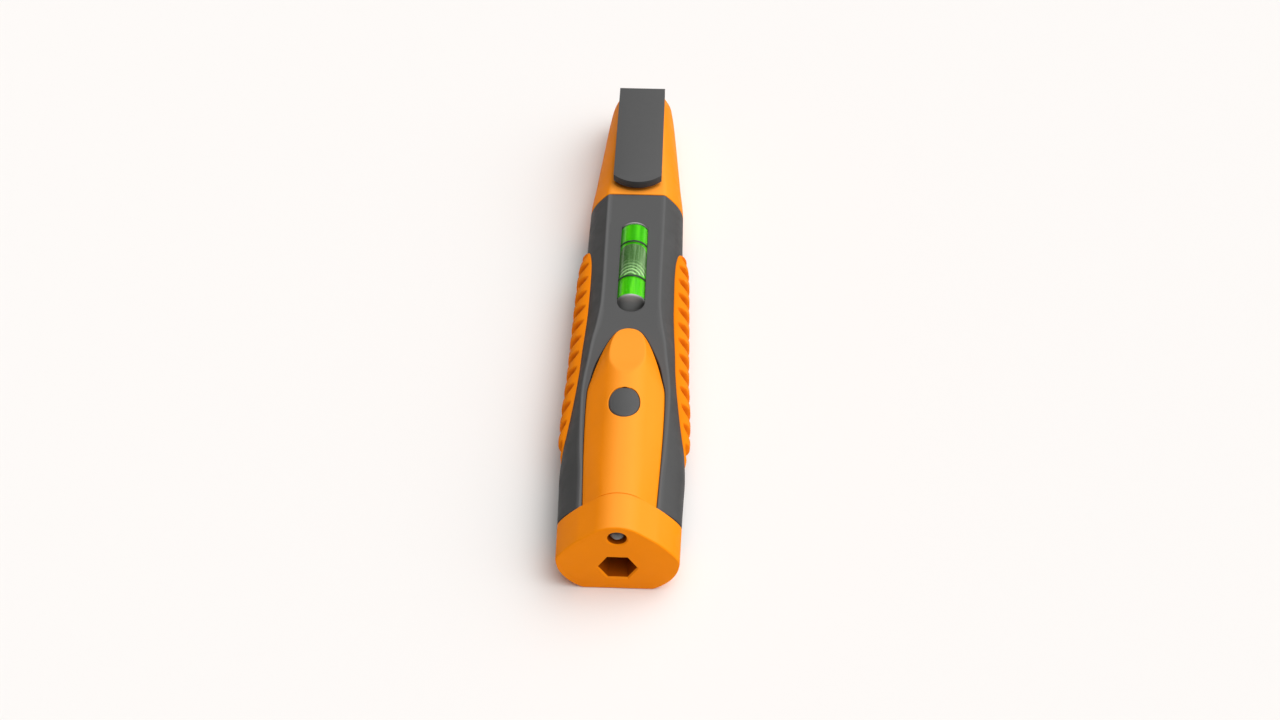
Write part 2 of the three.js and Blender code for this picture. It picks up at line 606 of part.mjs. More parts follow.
function addElectronics() {
  const board = box(-5.2, 5.2, -56, -35.6, BOARD_TOP - 0.8, BOARD_TOP);
  add('circuit_board', board, 'board');

  const switchY = (BUTTON_FRONT + BUTTON_REAR) / 2;
  const switchBody = box(-2.6, 2.6, switchY - 2.6, switchY + 2.6, BOARD_TOP + 0.05, SWITCH_TOP);
  const well = post(0, switchY, SWITCH_TOP - 1, SWITCH_TOP + 1, 1.8);
  add('tact_switch', switchBody.subtract(well), 'blackPlastic');
  add('switch_plunger', post(0, switchY, SWITCH_TOP - 0.3, BUTTON_BASE - 0.25, 1.4), 'steel');
  add('lamp_resistor', box(-1.6, 1.6, -50.6, -49, BOARD_TOP + 0.05, BOARD_TOP + 0.65), 'blackPlastic');

  const lampProfile = [[0, LED_TIP]];
  for (let i = 1; i <= 4; i += 1) {
    const angle = (Math.PI / 2) * (i / 4);
    lampProfile.push([LED_RADIUS * Math.sin(angle), LED_TIP + LED_RADIUS * (1 - Math.cos(angle))]);
  }
  lampProfile.push([LED_RADIUS, -68.5], [1.9, -68.5], [1.9, -67.6], [0, -67.6]);
  add('led_lamp', turned(lampProfile, LED_HEIGHT, 14), 'lens');

  const wire = 0.25;
  for (const [name, x] of [['led_lead_left', -1.27], ['led_lead_right', 1.27]]) {
    const top = LED_HEIGHT + wire;
    const foot = BOARD_TOP + 0.05;
    const lead = [
      [-67.5, top], [-63, top], [-57.2, foot + 2 * wire], [-54.6, foot + 2 * wire],
      [-54.6, foot], [-57.4, foot], [-63.2, top - 2 * wire], [-67.5, top - 2 * wire],
    ];
    add(name, sidePlate(lead, x - wire, x + wire), 'steel');
  }
}

// ---------------------------------------------------------------- battery

const CELL_PITCH = CELL_LENGTH + 0.1;
const STACK_REAR = CELL_FRONT - CELL_COUNT * CELL_PITCH;

function addBattery() {
  for (let i = 0; i < CELL_COUNT; i += 1) {
    const front = CELL_FRONT - i * CELL_PITCH;
    const rear = front - CELL_LENGTH;
    const cap = [[0, rear], [3.1, rear], [3.1, rear + 0.5]];
    const can = [...cap, [CELL_RADIUS, rear + 0.6], [CELL_RADIUS, front], [0, front]];
    add(`battery_cell_${i + 1}`, turned(can, CELL_HEIGHT, 18), 'nickel');
  }
  const plusPlate = box(-3.6, 3.6, CELL_FRONT + 0.1, CELL_FRONT + 0.5, 2.1, 8.2);
  const plusTab = box(2.9, 4.1, CELL_FRONT + 0.1, CELL_FRONT + 0.5, 8, 9.3);
  add('positive_contact', plusPlate.add(plusTab), 'nickel');
  const backWall = -35.4;
  const minusPlate = box(-3.6, 3.6, backWall, backWall + 0.4, 2.1, 8.2);
  const minusTab = box(-4.1, -2.9, backWall, backWall + 0.4, 8, 9.3);
  add('negative_contact', minusPlate.add(minusTab), 'nickel');

  const springFront = STACK_REAR - 0.15;
  const springRear = backWall + 0.55;
  const turns = 3.5;
  const coil = [];
  for (let i = 0; i <= 42; i += 1) {
    const t = i / 42;
    const angle = 2 * Math.PI * turns * t;
    const radius = 3 - 1.3 * t;
    const y = springRear + 0.25 + (springFront - springRear - 0.5) * t;
    coil.push(new THREE.Vector3(radius * Math.cos(angle), y, CELL_HEIGHT + radius * Math.sin(angle)));
  }
  const ring = new THREE.Shape();
  ring.absarc(0, 0, 0.24, 0, 2 * Math.PI, false);
  const path = new THREE.CatmullRomCurve3(coil);
  const spring = new THREE.ExtrudeGeometry(ring, { steps: 42, curveSegments: 3, extrudePath: path });
  add('battery_spring', solid(spring), 'steel');
}

// A thin insulated wire through a few points.
function addWire(name, points, finish) {
  const path = new THREE.CatmullRomCurve3(points.map((p) => new THREE.Vector3(...p)), false, 'centripetal');
  const round = new THREE.Shape();
  round.absarc(0, 0, 0.4, 0, 2 * Math.PI, false);
  const tube = new THREE.ExtrudeGeometry(round, { steps: 12, curveSegments: 3, extrudePath: path });
  add(name, solid(tube), finish);
}

function addWires() {
  const end = BOARD_TOP + 0.8;
  const x = 3.9;
  const fromPlus = [[3.5, CELL_FRONT - 0.4, 9.1], [x, -25, 9.15], [x, -31, 9.2]];
  addWire('wire_positive', [...fromPlus, [x, -33.4, 10.4], [x, -34, 12.2], [x, -36.6, end]], 'redWire');
  const fromMinus = [[-3.6, -34.6, 9], [-x, -33.9, 9.6], [-x, -33.4, 11.2]];
  addWire('wire_negative', [...fromMinus, [-x, -34.3, 12.6], [-x, -36.6, end]], 'blackPlastic');
}

function addDoor() {
  const door = box(-DOOR_HALF, DOOR_HALF, DOOR_REAR, DOOR_FRONT, 0, DOOR_THICKNESS);
  const grooves = [2.2, 3.3, 4.4].map((d) => DOOR_FRONT - d);
  const ribbed = grooves.reduce((shape, y) => shape.subtract(box(-3, 3, y, y + 0.6, -1, 0.4)), door);
  add('battery_door', ribbed.subtract(screwHole(0, DOOR_SCREW_Y, 4)), 'greyPlastic');
}

// ---------------------------------------------------------------- spirit vial

function addVial() {
  const middle = VIAL_HEIGHT;
  const plug = 0.4; // thickness of the end plugs
  const tubeRear = VIAL_REAR + plug + 0.1;
  const tubeFront = VIAL_FRONT - plug - 0.1;
  const bore = 2.95;
  const bored = rod(tubeRear - 1, tubeFront + 1, middle, bore);
  add('vial_tube', rod(tubeRear, tubeFront, middle, VIAL_RADIUS).subtract(bored), 'clear');

  const channel = plate(slotOutline(2.1, tubeRear + 0.6, tubeFront - 0.6), middle + 1.1, middle + 4);
  add('vial_liquid', rod(tubeRear + 0.1, tubeFront - 0.1, middle, bore - 0.15).subtract(channel), 'liquid');

  const bubble = plate(slotOutline(1.7, BUBBLE_REAR, BUBBLE_FRONT), middle + 1.4, middle + 4);
  add('vial_bubble', bubble.intersect(rod(tubeRear, tubeFront, middle, bore - 0.35)), 'bubble');

  for (const [name, y] of [['vial_plug_rear', VIAL_REAR], ['vial_plug_front', VIAL_FRONT - plug]]) {
    add(name, rod(y, y + plug, middle, VIAL_RADIUS), 'blackPlastic');
  }
  for (const [name, y] of Object.entries(VIAL_RINGS)) {
    const inside = rod(y - 1, y + 1, middle, VIAL_RADIUS + 0.03);
    add(name, rod(y - 0.27, y + 0.27, middle, VIAL_RADIUS + 0.12).subtract(inside), 'blackPlastic');
  }
  const rear = VIAL_SLOT_REAR - 0.5;
  const front = VIAL_SLOT_FRONT + 0.5;
  const ceiling = TOP - WALL - GAP;
  const trough = rod(VIAL_SLOT_REAR + 0.4, VIAL_SLOT_FRONT - 0.2, middle, VIAL_RADIUS + VIAL_CLEARANCE);
  add('vial_cradle', box(-4.9, 4.9, rear, front, 9.6, ceiling).subtract(trough), 'greyPlastic');
}

// ---------------------------------------------------------------- side grips

// Point on the body's flank at a height, moved outwards by a distance.
function flankPoint(y, z, outwards) {
  const { upper, lower } = flanks(y, 0);
  const [a, b, c] = z >= PARTING ? upper : lower;
  const quadratic = a[1] - 2 * b[1] + c[1];
  const linear = 2 * (b[1] - a[1]);
  const root = Math.sqrt(linear * linear - 4 * quadratic * (a[1] - z));
  const straight = Math.abs(quadratic) < 1e-6;
  const t = straight ? (z - a[1]) / linear : (-linear + Math.sign(linear) * root) / (2 * quadratic);
  const [x] = bend(a, b, c, t);
  const tangent = [0, 1].map((i) => (1 - t) * (b[i] - a[i]) + t * (c[i] - b[i]));
  const length = Math.hypot(...tangent);
  const towards = z >= PARTING ? 1 : -1;
  const normal = [(towards * tangent[1]) / length, (-towards * tangent[0]) / length];
  return [x + normal[0] * outwards, z + normal[1] * outwards];
}

function gripSection(y) {
  const crest = gripHalf(y) - sideHalf(y);
  const steps = 8;
  const outer = [];
  const inner = [];
  for (let i = 0; i <= steps; i += 1) {
    const s = i / steps;
    const z = THREE.MathUtils.lerp(gripLower(y), gripUpper(y), s);
    const swell = 1 - Math.abs(2 * s - 1) ** 2.6;
    outer.push(flankPoint(y, z, GAP + 0.08 + Math.max(0, crest - GAP - 0.08) * swell));
    inner.push(flankPoint(y, z, GAP));
  }
  return [...outer, ...inner.reverse()].map(([x, z]) => new THREE.Vector3(x, y, z));
}

function addGrips() {
  const ends = [GRIP_FRONT, GRIP_FRONT - 0.5, GRIP_FRONT - 1.5];
  const ys = [...ends, ...stations(GRIP_FRONT - 3, GRIP_REAR + 2, 4), GRIP_REAR];
  let right = loft(ys.map(gripSection));
  for (let i = 0; i < GROOVES; i += 1) {
    const y = FIRST_GROOVE - i * GROOVE_PITCH;
    const crest = gripHalf(y);
    const length = gripUpper(y) - gripLower(y) - 1.2;
    const middle = (gripUpper(y) + gripLower(y)) / 2;
    const notch = new THREE.CylinderGeometry(1.1, 1.1, length, 3).rotateX(Math.PI / 2).rotateZ(Math.PI / 6);
    notch.scale(0.8, 0.9, 1).rotateX(0.12).translate(crest + 0.25, y, middle);
    right = right.subtract(solid(notch));
  }
  add('right_grip', right, 'orangeRubber');
  const mirror = geometryOf(right).scale(-1, 1, 1);
  const flipped = mirror.index.array.map((_, i, list) => list[i - (i % 3) + [0, 2, 1][i % 3]]);
  mirror.setIndex(new THREE.BufferAttribute(flipped, 1));
  add('left_grip', solid(mirror), 'orangeRubber');
}

// ---------------------------------------------------------------- assembly

addLowerHousing();
addUpperHousing();
addGrips();
addNose();
addClip();
addFinderMagnet();
addThumbPanel();
addButton();
addRearCap();
addElectronics();
addBattery();
addWires();
addDoor();
addVial();
for (const [name, [x, y]] of Object.entries(HOUSING_SCREWS)) addScrew(name, x, y, HOUSING_SCREW_TIP);
addScrew('nose_screw', 0, NOSE_SCREW_Y, 6.1);
addScrew('door_screw', 0, DOOR_SCREW_Y, 3.7);

export default part;
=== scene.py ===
"""A pocket stud finder: moulded shells, scalloped grips, a spirit vial and procedural materials, built
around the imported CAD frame. Lengths are millimetres in the frame's axes until a mesh is made.
"""

import math

import bmesh
import bpy
import numpy as np
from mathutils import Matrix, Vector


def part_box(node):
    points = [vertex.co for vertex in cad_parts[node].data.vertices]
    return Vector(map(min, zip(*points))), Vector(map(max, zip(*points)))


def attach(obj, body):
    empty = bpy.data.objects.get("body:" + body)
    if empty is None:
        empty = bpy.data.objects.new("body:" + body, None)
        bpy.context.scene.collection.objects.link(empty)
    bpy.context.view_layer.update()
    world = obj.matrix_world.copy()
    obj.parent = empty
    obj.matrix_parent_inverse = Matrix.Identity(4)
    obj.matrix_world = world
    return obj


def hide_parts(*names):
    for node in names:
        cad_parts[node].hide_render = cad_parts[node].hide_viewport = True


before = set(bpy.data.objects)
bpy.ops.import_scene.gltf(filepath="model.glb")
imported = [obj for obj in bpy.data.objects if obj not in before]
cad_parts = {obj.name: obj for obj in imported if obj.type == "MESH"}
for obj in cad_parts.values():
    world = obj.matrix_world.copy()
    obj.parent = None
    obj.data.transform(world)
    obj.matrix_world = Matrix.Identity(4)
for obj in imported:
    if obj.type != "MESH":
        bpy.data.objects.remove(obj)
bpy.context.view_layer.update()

SCENE = bpy.context.scene
MM = 0.001

# -------- driving dimensions, mm

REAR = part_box("rear_cap")[0].y / MM
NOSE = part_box("nose_cap")[1].y / MM
PARTING = 8.7  # height of the line where the two shells meet
WALL = 1.7
SEAM = 0.12  # half of the gap between neighbouring mouldings
SEAM_ROUND = 0.12  # rounding of the edges at a seam
LIP_DEPTH, LIP_ROUND = 0.14, 0.04  # of the shells' edges at the parting line
CREASE_ROUND = 0.4
EDGE = 0.22  # rounding of an edge round an opening
EDGE_STEPS = np.array([0, 0.1, 0.3, 0.6, 1])  # where a rounding has its points
CAP_SEAM = -65.75
NOSE_SEAM = 26.1
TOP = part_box("upper_housing")[1].z / MM
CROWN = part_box("rear_cap")[1].z / MM
CROWN_SLOPE = 0.86
CROWN_PEAK = 21.6
CROWN_ROUND = 4.4
LOWER_STEER = 3.0  # height that steers the rounding of the lower flank
BASE_ROUND = 0.7  # rounding from the flanks to the base
CAP_SHOULDER = 7.6  # half-width where the rear cap's rounded shoulders meet the crown
CAP_STEER = 10.4
TIP_CORNER = 5.5  # radius of the nose tip's corners in plan

PANEL_TIP = -18.2
TIP_GAP = 0.06  # between the thumb panel and the housing, at the tip
WIDE_GAP, WIDE_GAP_AT, WIDE_GAP_REACH = 0.24, -28.5, 3.4  # what is added beside the thumb hollow
CAP_GAP = 0.1  # between the thumb panel and the rear cap
BEVEL_SLOPE = 1.15  # of the thumb panel's sides
PANEL_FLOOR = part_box("thumb_panel")[0].z / MM
BUTTON_FRONT, BUTTON_WIDEST, BUTTON_REAR = -38.7, -42.0, -46.4
BUTTON_HALF = 3.1
BUTTON_SQUARENESS = 0.65  # of its front end: 1 would be a half ellipse
BUTTON_MARGIN = 0.1  # between the button and its hole

VIAL_AXIS = 14.3
VIAL_CENTRE = (0, 0, VIAL_AXIS)
VIAL_RADIUS = 3.4
VIAL_BORE = 3.2
VIAL_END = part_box("vial_plug_front")[1].y / MM
SLOT_REAR, SLOT_FRONT = -13.0, 16.1
SLOT_HALF = 3.0
SLOT_FRONT_REACH = 2.65  # length of the slot's rounded front end, flatter than its rear end

HEX_HEIGHT = 6.9
HEX_FLATS = 6.5
HEX_END = -58.0
LED_HEIGHT = 16.1
LED_HOLE = 1.85
LED_RADIUS = 1.5

CLIP_UNDERSIDE = 17.2
CLIP_END_CORNER = 29.7  # where the clip's sides meet its rounded free end
FOOT_HALF, FOOT_REAR = 4.9, 60.8
FOOT_GAP = 0.3  # between the clip's foot and its slot in the nose

DOOR_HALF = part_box("battery_door")[1].x / MM
DOOR_REAR, DOOR_FRONT = (corner.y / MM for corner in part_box("battery_door"))
DOOR_GAP = 0.2

BODY_SCREWS = ("housing_screw_left", "housing_screw_right", "housing_screw_rear", "nose_screw")


def along(*stations):
    """A smooth curve through (y, value) stations, level wherever the values turn back."""
    ys, values = np.array(sorted(stations), float).T.copy()
    secants = np.diff(values) / np.diff(ys)
    product = secants[:-1] * secants[1:]
    total = np.where(product > 0, secants[:-1] + secants[1:], 1.0)
    inner = np.where(product > 0, 2 * product / total, 0.0)
    slopes = np.concatenate([[secants[0]], inner, [secants[-1]]])

    def curve(y):
        y = np.clip(y, ys[0], ys[-1])
        i = np.clip(np.searchsorted(ys, y) - 1, 0, len(secants) - 1)
        span = ys[i + 1] - ys[i]
        t = (y - ys[i]) / span
        ease = t * t * (3 - 2 * t)
        rise = t * (1 - t) * span
        level = values[i] * (1 - ease) + values[i + 1] * ease
        return level + rise * ((1 - t) * slopes[i] - t * slopes[i + 1])

    return curve


side_half = along(
    (-74, 11.9), (-69, 12.05), (-64, 12.2), (-59, 12.4), (-54, 12.6), (-47, 12.35), (-40, 11.85),
    (-30, 11.25), (-20, 11), (-10, 10.9), (0, 10.9), (14, 11.05), (26, 11), (36, 10.2), (48, 9.25),
    (60, 8.25), (67.5, 7.45), (74, 6.85),
)
crease_half = along(
    (-66, 7.7), (-57, 8), (-51, 8.5), (-42, 8.95), (-36, 9.1), (-31, 8.8), (-27, 8.3), (-22, 7.8),
    (-16, 6.9), (-10, 6.4), (-4, 6.35), (6, 6.45), (26, 6.6), (36, 6), (50, 5.6), (74, 4.6),
)
crease_height = along((-66, 14.5), (-50, 14.5), (-38, 14.6), (-31, 15), (-24, 15.6), (-14, 16), (74, 16))
base_half = along((-74, 6.9), (26, 6.9), (60, 5.4), (74, 4.8))
shoulder_height = along((-74, 11), (-40, 11.3), (-16, 11.9), (74, 11.9))
panel_edge = along((-66, 14.65), (-35, 14.65), (-29.5, 15.05), (-25.5, 15.5), (-22, 15.85), (-18, 16))
thumb_height = along(
    (-36.2, 20.8), (-34.2, CROWN), (-32.3, 19.08), (-30.5, 18.6), (-26, 17.68), (-22.2, 16.95),
    (PANEL_TIP, TOP),
)
nose_height = along((26, 16), (63.5, 16), (66, 15.2), (71, 11.4), (74, 8.7))
grip_half = along(
    (13.2, 11.1), (12, 11.6), (11, 11.95), (7.5, 12.45), (4.2, 12.75), (-2.4, 12.85), (-15, 13),
    (-27, 13.1), (-32.7, 13.3), (-38, 13.5), (-44, 13.5), (-49, 13), (-51, 12.75),
)
grip_upper = along(
    (13.2, 9.2), (12, 10.2), (11, 10.9), (9, 11.9), (5, 12.55), (0, 12.7), (-28, 12.65), (-33, 12.4),
    (-38, 11.7), (-46, 10.2), (-51, 8.8),
)
grip_lower = along(
    (13.2, 7.8), (12, 7), (11, 6.4), (9, 5.3), (5, 4.4), (-28, 4.2), (-38, 5), (-46, 6.6), (-51, 8.1),
)
# Square of the thumb panel's half-width at a distance behind its tip: a square root makes the tip round.
panel_square = along(
    (0, 0), (1.5, 7.9), (3.8, 17.2), (7.3, 30.5), (11.3, 45.2), (14.1, 54.5), (16.2, 61.6), (17.6, 64.2),
    (20.5, 64.8), (27, 63.2), (47.4, 50.4),
)


def panel_half(y):
    return np.sqrt(panel_square(PANEL_TIP - y)) * (y < PANEL_TIP)


def bend(a, b, c, t):
    """Points on the curve from a to c that is steered by b, for an array of t."""
    t = np.asarray(t)[:, None]
    a, b, c = (np.asarray(p, float) for p in (a, b, c))
    return (1 - t) ** 2 * a + 2 * t * (1 - t) * b + t * t * c


def crown_height(x):
    distance = np.abs(x)
    fall = CROWN - (CROWN_PEAK - CROWN_SLOPE * CROWN_ROUND)
    steepness = CROWN_SLOPE * CROWN_ROUND / fall
    ridge = CROWN - fall * (np.minimum(distance, CROWN_ROUND) / CROWN_ROUND) ** steepness
    return np.where(distance < CROWN_ROUND, ridge, CROWN_PEAK - CROWN_SLOPE * distance)


def blend_min(a, b, width):
    """The lower of two heights, rounded over a width where they cross."""
    share = np.maximum(width - np.abs(a - b), 0) / width
    return np.minimum(a, b) - share * share * width / 4


def panel_height(x, y):
    """Top of the thumb panel: the crown, cut down by the thumb hollow and by a bevel on each side."""
    bevel = panel_edge(y) + BEVEL_SLOPE * (panel_half(y) - np.abs(x))
    return blend_min(blend_min(crown_height(x), bevel, 0.5), thumb_height(y), 0.22)


def edge_drop(distance, radius):
    """How far a rounded edge falls at a distance inside its outline."""
    inside = np.clip(radius - distance, 0, radius)
    return radius - np.sqrt(radius * radius - inside * inside)


def spaced(start, stop, step):
    count = max(1, round(abs(stop - start) / step))
    return np.linspace(start, stop, count + 1)


def around_end(tip, reach, count):
    """Stations that crowd towards a round end at tip and run to tip + reach."""
    return tip + reach * (1 - np.cos(np.linspace(0, math.pi / 2, count)))


def merged_stations(*groups):
    ys = np.sort(np.concatenate(groups))
    return ys[np.concatenate([[True], np.diff(ys) > 0.02])]


def near_ends(rear, front):
    """Stations that show the rounding of both ends."""
    return [rear, rear + 0.05, rear + 0.15, front - 0.15, front - 0.05, front]


def at_station(y, x, z):
    return np.stack([x, np.full(len(x), y), z], 1)


def closed_ring(y, half):
    """A closed ring at a station from its right half, which starts and ends on the middle."""
    full = np.concatenate([half, half[-2:0:-1] * (-1, 1)])
    return at_station(y, full[:, 0], full[:, 1])


def outline_distance(points, outline):
    """Distance from each (x, y) point to an open plan outline."""
    start, end = outline[:-1], outline[1:]
    run = end - start
    relative = points[:, None, :] - start[None]
    share = np.clip((relative * run).sum(2) / np.maximum((run * run).sum(1), 1e-12), 0, 1)
    gap = relative - share[..., None] * run
    return np.sqrt((gap * gap).sum(2)).min(1)


# -------- meshes


def smooth_shade(mesh, sharp_angle):
    """Smooth shading, with sharp edges where faces turn by more than an angle."""
    mesh.shade_smooth()
    mesh.set_sharp_from_angle(angle=math.radians(sharp_angle))


def finish_mesh(name, sheet, sharp_angle=38):
    """A linked object from a sheet's points and faces, with doubles merged and faces outwards."""
    mesh = bpy.data.meshes.new(name)
    mesh.from_pydata([tuple(float(c) * MM for c in v) for v in sheet.vertices], [], sheet.faces)
    work = bmesh.new()
    work.from_mesh(mesh)
    bmesh.ops.remove_doubles(work, verts=work.verts, dist=3e-6)
    bmesh.ops.dissolve_degenerate(work, dist=1e-7, edges=work.edges)
    bmesh.ops.recalc_face_normals(work, faces=work.faces)
    work.to_mesh(mesh)
    work.free()
    smooth_shade(mesh, sharp_angle)
    thing = bpy.data.objects.new(name, mesh)
    SCENE.collection.objects.link(thing)
    return thing


class Sheet:
    """Collects grids of points and the faces between them."""

    def __init__(self):
        self.vertices = []
        self.faces = []

    def add(self, points):
        """Stores a rows x columns x 3 array and returns its vertex numbers in the same shape."""
        points = np.asarray(points, float)
        first = len(self.vertices)
        self.vertices.extend(points.reshape(-1, 3))
        return first + np.arange(points[..., 0].size).reshape(points.shape[:2])

    def skin(self, numbers):
        """Quads over a grid of vertex numbers."""
        rows = numbers.tolist()
        for low, high in zip(rows[:-1], rows[1:]):
            self.faces.extend(zip(low[:-1], low[1:], high[1:], high[:-1]))

    def mirror(self):
        """Adds the same faces on the other side of the X = 0 plane."""
        count = len(self.vertices)
        self.vertices.extend([np.array([-v[0], v[1], v[2]]) for v in self.vertices[:count]])
        self.faces.extend([tuple(i + count for i in face) for face in self.faces])


def rings_mesh(name, rings, sharp_angle=38):
    """A closed skin over rings of points, with a flat lid on each end."""
    rings = np.asarray(rings, float)
    sheet = Sheet()
    numbers = sheet.add(rings)
    sheet.skin(np.concatenate([numbers, numbers[:, :1]], axis=1))
    for end in (0, -1):
        sheet.faces.append(tuple(numbers[end].tolist()))
    return finish_mesh(name, sheet, sharp_angle)


def lathe(name, profile, centre, axis="Y", turns=64, sharp_angle=38):
    """A solid of revolution from (radius, place) points along an axis through centre."""
    angles = np.linspace(0, 2 * math.pi, turns, endpoint=False)
    rings = []
    for radius, place in profile:
        around = np.stack([radius * np.cos(angles), radius * np.sin(angles)], 1)
        ring = np.insert(around, "XYZ".index(axis), place, axis=1)
        rings.append(ring + np.asarray(centre))
    return rings_mesh(name, rings, sharp_angle)


def prism(name, outline, low, high):
    """An upright solid from a closed plan outline, between two heights."""
    outline = np.asarray(outline, float)
    return rings_mesh(name, [np.insert(outline, 2, level, axis=1) for level in (low, high)], 20)


def block(name, low, high):
    outline = [(low[0], low[1]), (high[0], low[1]), (high[0], high[1]), (low[0], high[1])]
    return prism(name, outline, low[2], high[2])


def apply_modifiers(thing):
    """Replaces the object's mesh by what its modifiers make of it."""
    graph = bpy.context.evaluated_depsgraph_get()
    made = bpy.data.meshes.new_from_object(thing.evaluated_get(graph))
    thing.modifiers.clear()
    old, thing.data = thing.data, made
    made.name = thing.name
    bpy.data.meshes.remove(old)


def combine(thing, operation, tools):
    """Joins or cuts an object with others, which are used up."""
    for tool in tools:
        step = thing.modifiers.new("combine", "BOOLEAN")
        step.operation = operation
        step.solver = "EXACT"
        step.object = tool
        apply_modifiers(thing)
        bpy.data.objects.remove(tool)
    smooth_shade(thing.data, 32)
    return thing


def join(thing, *tools):
    return combine(thing, "UNION", tools)


def cut(thing, *tools):
    return combine(thing, "DIFFERENCE", tools)


def bevelled(thing, width, angle=35):
    """Rounds an object's edges that turn by more than an angle."""
    step = thing.modifiers.new("edges", "BEVEL")
    step.width = width * MM
    step.segments = 3
    step.limit_method = "ANGLE"
    step.angle_limit = math.radians(angle)
    apply_modifiers(thing)
    smooth_shade(thing.data, 50)
    return thing


# -------- materials


def put(node, key, source):
    """Links a socket to a node's input, or sets the input to a plain value."""
    if isinstance(source, bpy.types.NodeSocket):
        node.id_data.links.new(source, node.inputs[key])
    else:
        node.inputs[key].default_value = source


def feed(node, **inputs):
    """Fills inputs of a node by name, with _ for a space."""
    for key, source in inputs.items():
        put(node, key.replace("_", " "), source)


def add_node(tree, kind, *sources, operation=None):
    """A new shader node whose first inputs are filled from the sources."""
    node = tree.nodes.new("ShaderNode" + kind)
    if operation:
        node.operation = operation
    for i, source in enumerate(sources):
        put(node, i, source)
    return node


def new_material(name, colour, roughness, **inputs):
    """A new material, its node tree and its shader node."""
    material = bpy.data.materials.new(name)
    material.use_nodes = True
    shader = material.node_tree.nodes["Principled BSDF"]
    feed(shader, Base_Color=(*colour, 1), Roughness=roughness, **inputs)
    return material, material.node_tree, shader


def own_place(tree):
    """Socket of the object's own coordinates."""
    node = tree.nodes.get("Place") or add_node(tree, "TexCoord")
    node.name = "Place"
    return node.outputs["Object"]


def texture(tree, kind, scale, stretch=(1, 1, 1), shift=(0, 0, 0), **inputs):
    """A texture of the object's own coordinates, shifted and stretched, with scale in turns per metre."""
    moved = add_node(tree, "Mapping", own_place(tree), shift, (0, 0, 0), stretch)
    node = add_node(tree, kind, moved.outputs["Vector"])
    feed(node, Scale=scale, **inputs)
    return node


def noise(tree, scale, detail, roughness=0.5, stretch=(1, 1, 1)):
    node = texture(tree, "TexNoise", scale, stretch=stretch, Detail=detail, Roughness=roughness)
    return node.outputs["Fac"]


def ramp(tree, source, stops):
    node = add_node(tree, "ValToRGB", source)
    while len(node.color_ramp.elements) < len(stops):
        node.color_ramp.elements.new(0.5)
    for element, (place, colour) in zip(node.color_ramp.elements, stops):
        element.position = place
        element.color = (*colour, 1) if len(colour) == 3 else (colour[0],) * 3 + (1,)
    return node.outputs["Color"]


def bump(tree, shader, height, distance, strength, before=None):
    node = add_node(tree, "Bump")
    feed(node, Height=height, Distance=distance * MM, Strength=strength)
    if before is not None:
        feed(node, Normal=before)
    feed(shader, Normal=node.outputs["Normal"])
    return node.outputs["Normal"]


def mixed(tree, share, first, second):
    """The first colour where share is 0 and the second where it is 1."""
    node = add_node(tree, "Mix")
    node.data_type = "RGBA"
    for key, source in ((0, share), (6, first), (7, second)):
        put(node, key, source)
    return node.outputs[2]


# Direction of the painted top light: it leans a little to the right, as the sky's light does.
TOP_LIGHT_DIRECTION = (0.15, 0, 0.99)  # leans a little to the right


def top_light_share(tree):
    """Socket that is 1 where the surface faces up and 0 where it faces sideways, for painting light on the
    tops.
    """
    normal = add_node(tree, "NewGeometry").outputs["Normal"]
    facing = add_node(tree, "VectorMath", normal, TOP_LIGHT_DIRECTION, operation="DOT_PRODUCT")
    side_on, face_on = 0.7, 0.97
    return add_node(tree, "MapRange", facing.outputs["Value"], side_on, face_on).outputs["Result"]


def moulded(
    name, colour, roughness, grain=0.16, grain_depth=0.012, shade=0.1, gloss=0.5, painted_light_colour=None, top_light_colour=None,
):
    """Moulded plastic: fine spark-eroded grain, faint cloudiness and a sheen that wanders.

    It paints light on what faces up with one extra colour, and paints light or shade with another where a
    mesh's attribute says so.
    """
    material, tree, shader = new_material(name, colour, roughness, IOR=1.47, Specular_IOR_Level=gloss)
    darker = tuple(c * (1 - shade) for c in colour)
    lighter = tuple(min(1, c * (1 + shade)) for c in colour)
    tint = ramp(tree, noise(tree, 120, 4.0, 0.55), [(0.3, darker), (0.7, lighter)])
    if top_light_colour:
        tint = mixed(tree, top_light_share(tree), tint, (*top_light_colour, 1))
    if painted_light_colour:
        # Painted light or shade, where the mesh's attribute says so.
        painted_light = add_node(tree, "Attribute")
        painted_light.attribute_name = "painted_light"
        tint = mixed(tree, painted_light.outputs["Fac"], tint, (*painted_light_colour, 1))
    smears = noise(tree, 420, 5.0, 0.6)
    sheen = ramp(tree, smears, [(0.3, (roughness - 0.08,)), (0.7, (roughness + 0.08,))])
    feed(shader, Base_Color=tint, Roughness=sheen)
    pores = texture(tree, "TexVoronoi", 1 / (grain * MM))
    fine = bump(tree, shader, pores.outputs["Distance"], grain_depth, 0.35)
    bump(tree, shader, noise(tree, 900, 3.0), 0.03, 0.12, before=fine)
    return material


def set_painted_light(thing, share):
    """Stores share(x, y, z), in millimetres, as the mesh attribute by which the material paints light or
    shade.
    """
    painted_light = thing.data.attributes.new("painted_light", "FLOAT", "POINT")
    painted_light.data.foreach_set("value", [float(share(*(v.co / MM))) for v in thing.data.vertices])


def metal(name, colour, roughness, grain=(1, 1, 1)):
    """Plain or plated metal with fine drawn lines and stains."""
    material, tree, shader = new_material(name, colour, roughness, Metallic=1.0)
    stains = noise(tree, 500, 6.0, 0.6)
    darker = tuple(c * 0.82 for c in colour)
    tint = ramp(tree, stains, [(0.35, darker), (0.65, colour)])
    sheen = ramp(tree, stains, [(0.3, (roughness * 0.7,)), (0.7, (roughness * 1.4,))])
    feed(shader, Base_Color=tint, Roughness=sheen)
    bump(tree, shader, noise(tree, 2500, 3.0, stretch=grain), 0.01, 0.2)
    return material
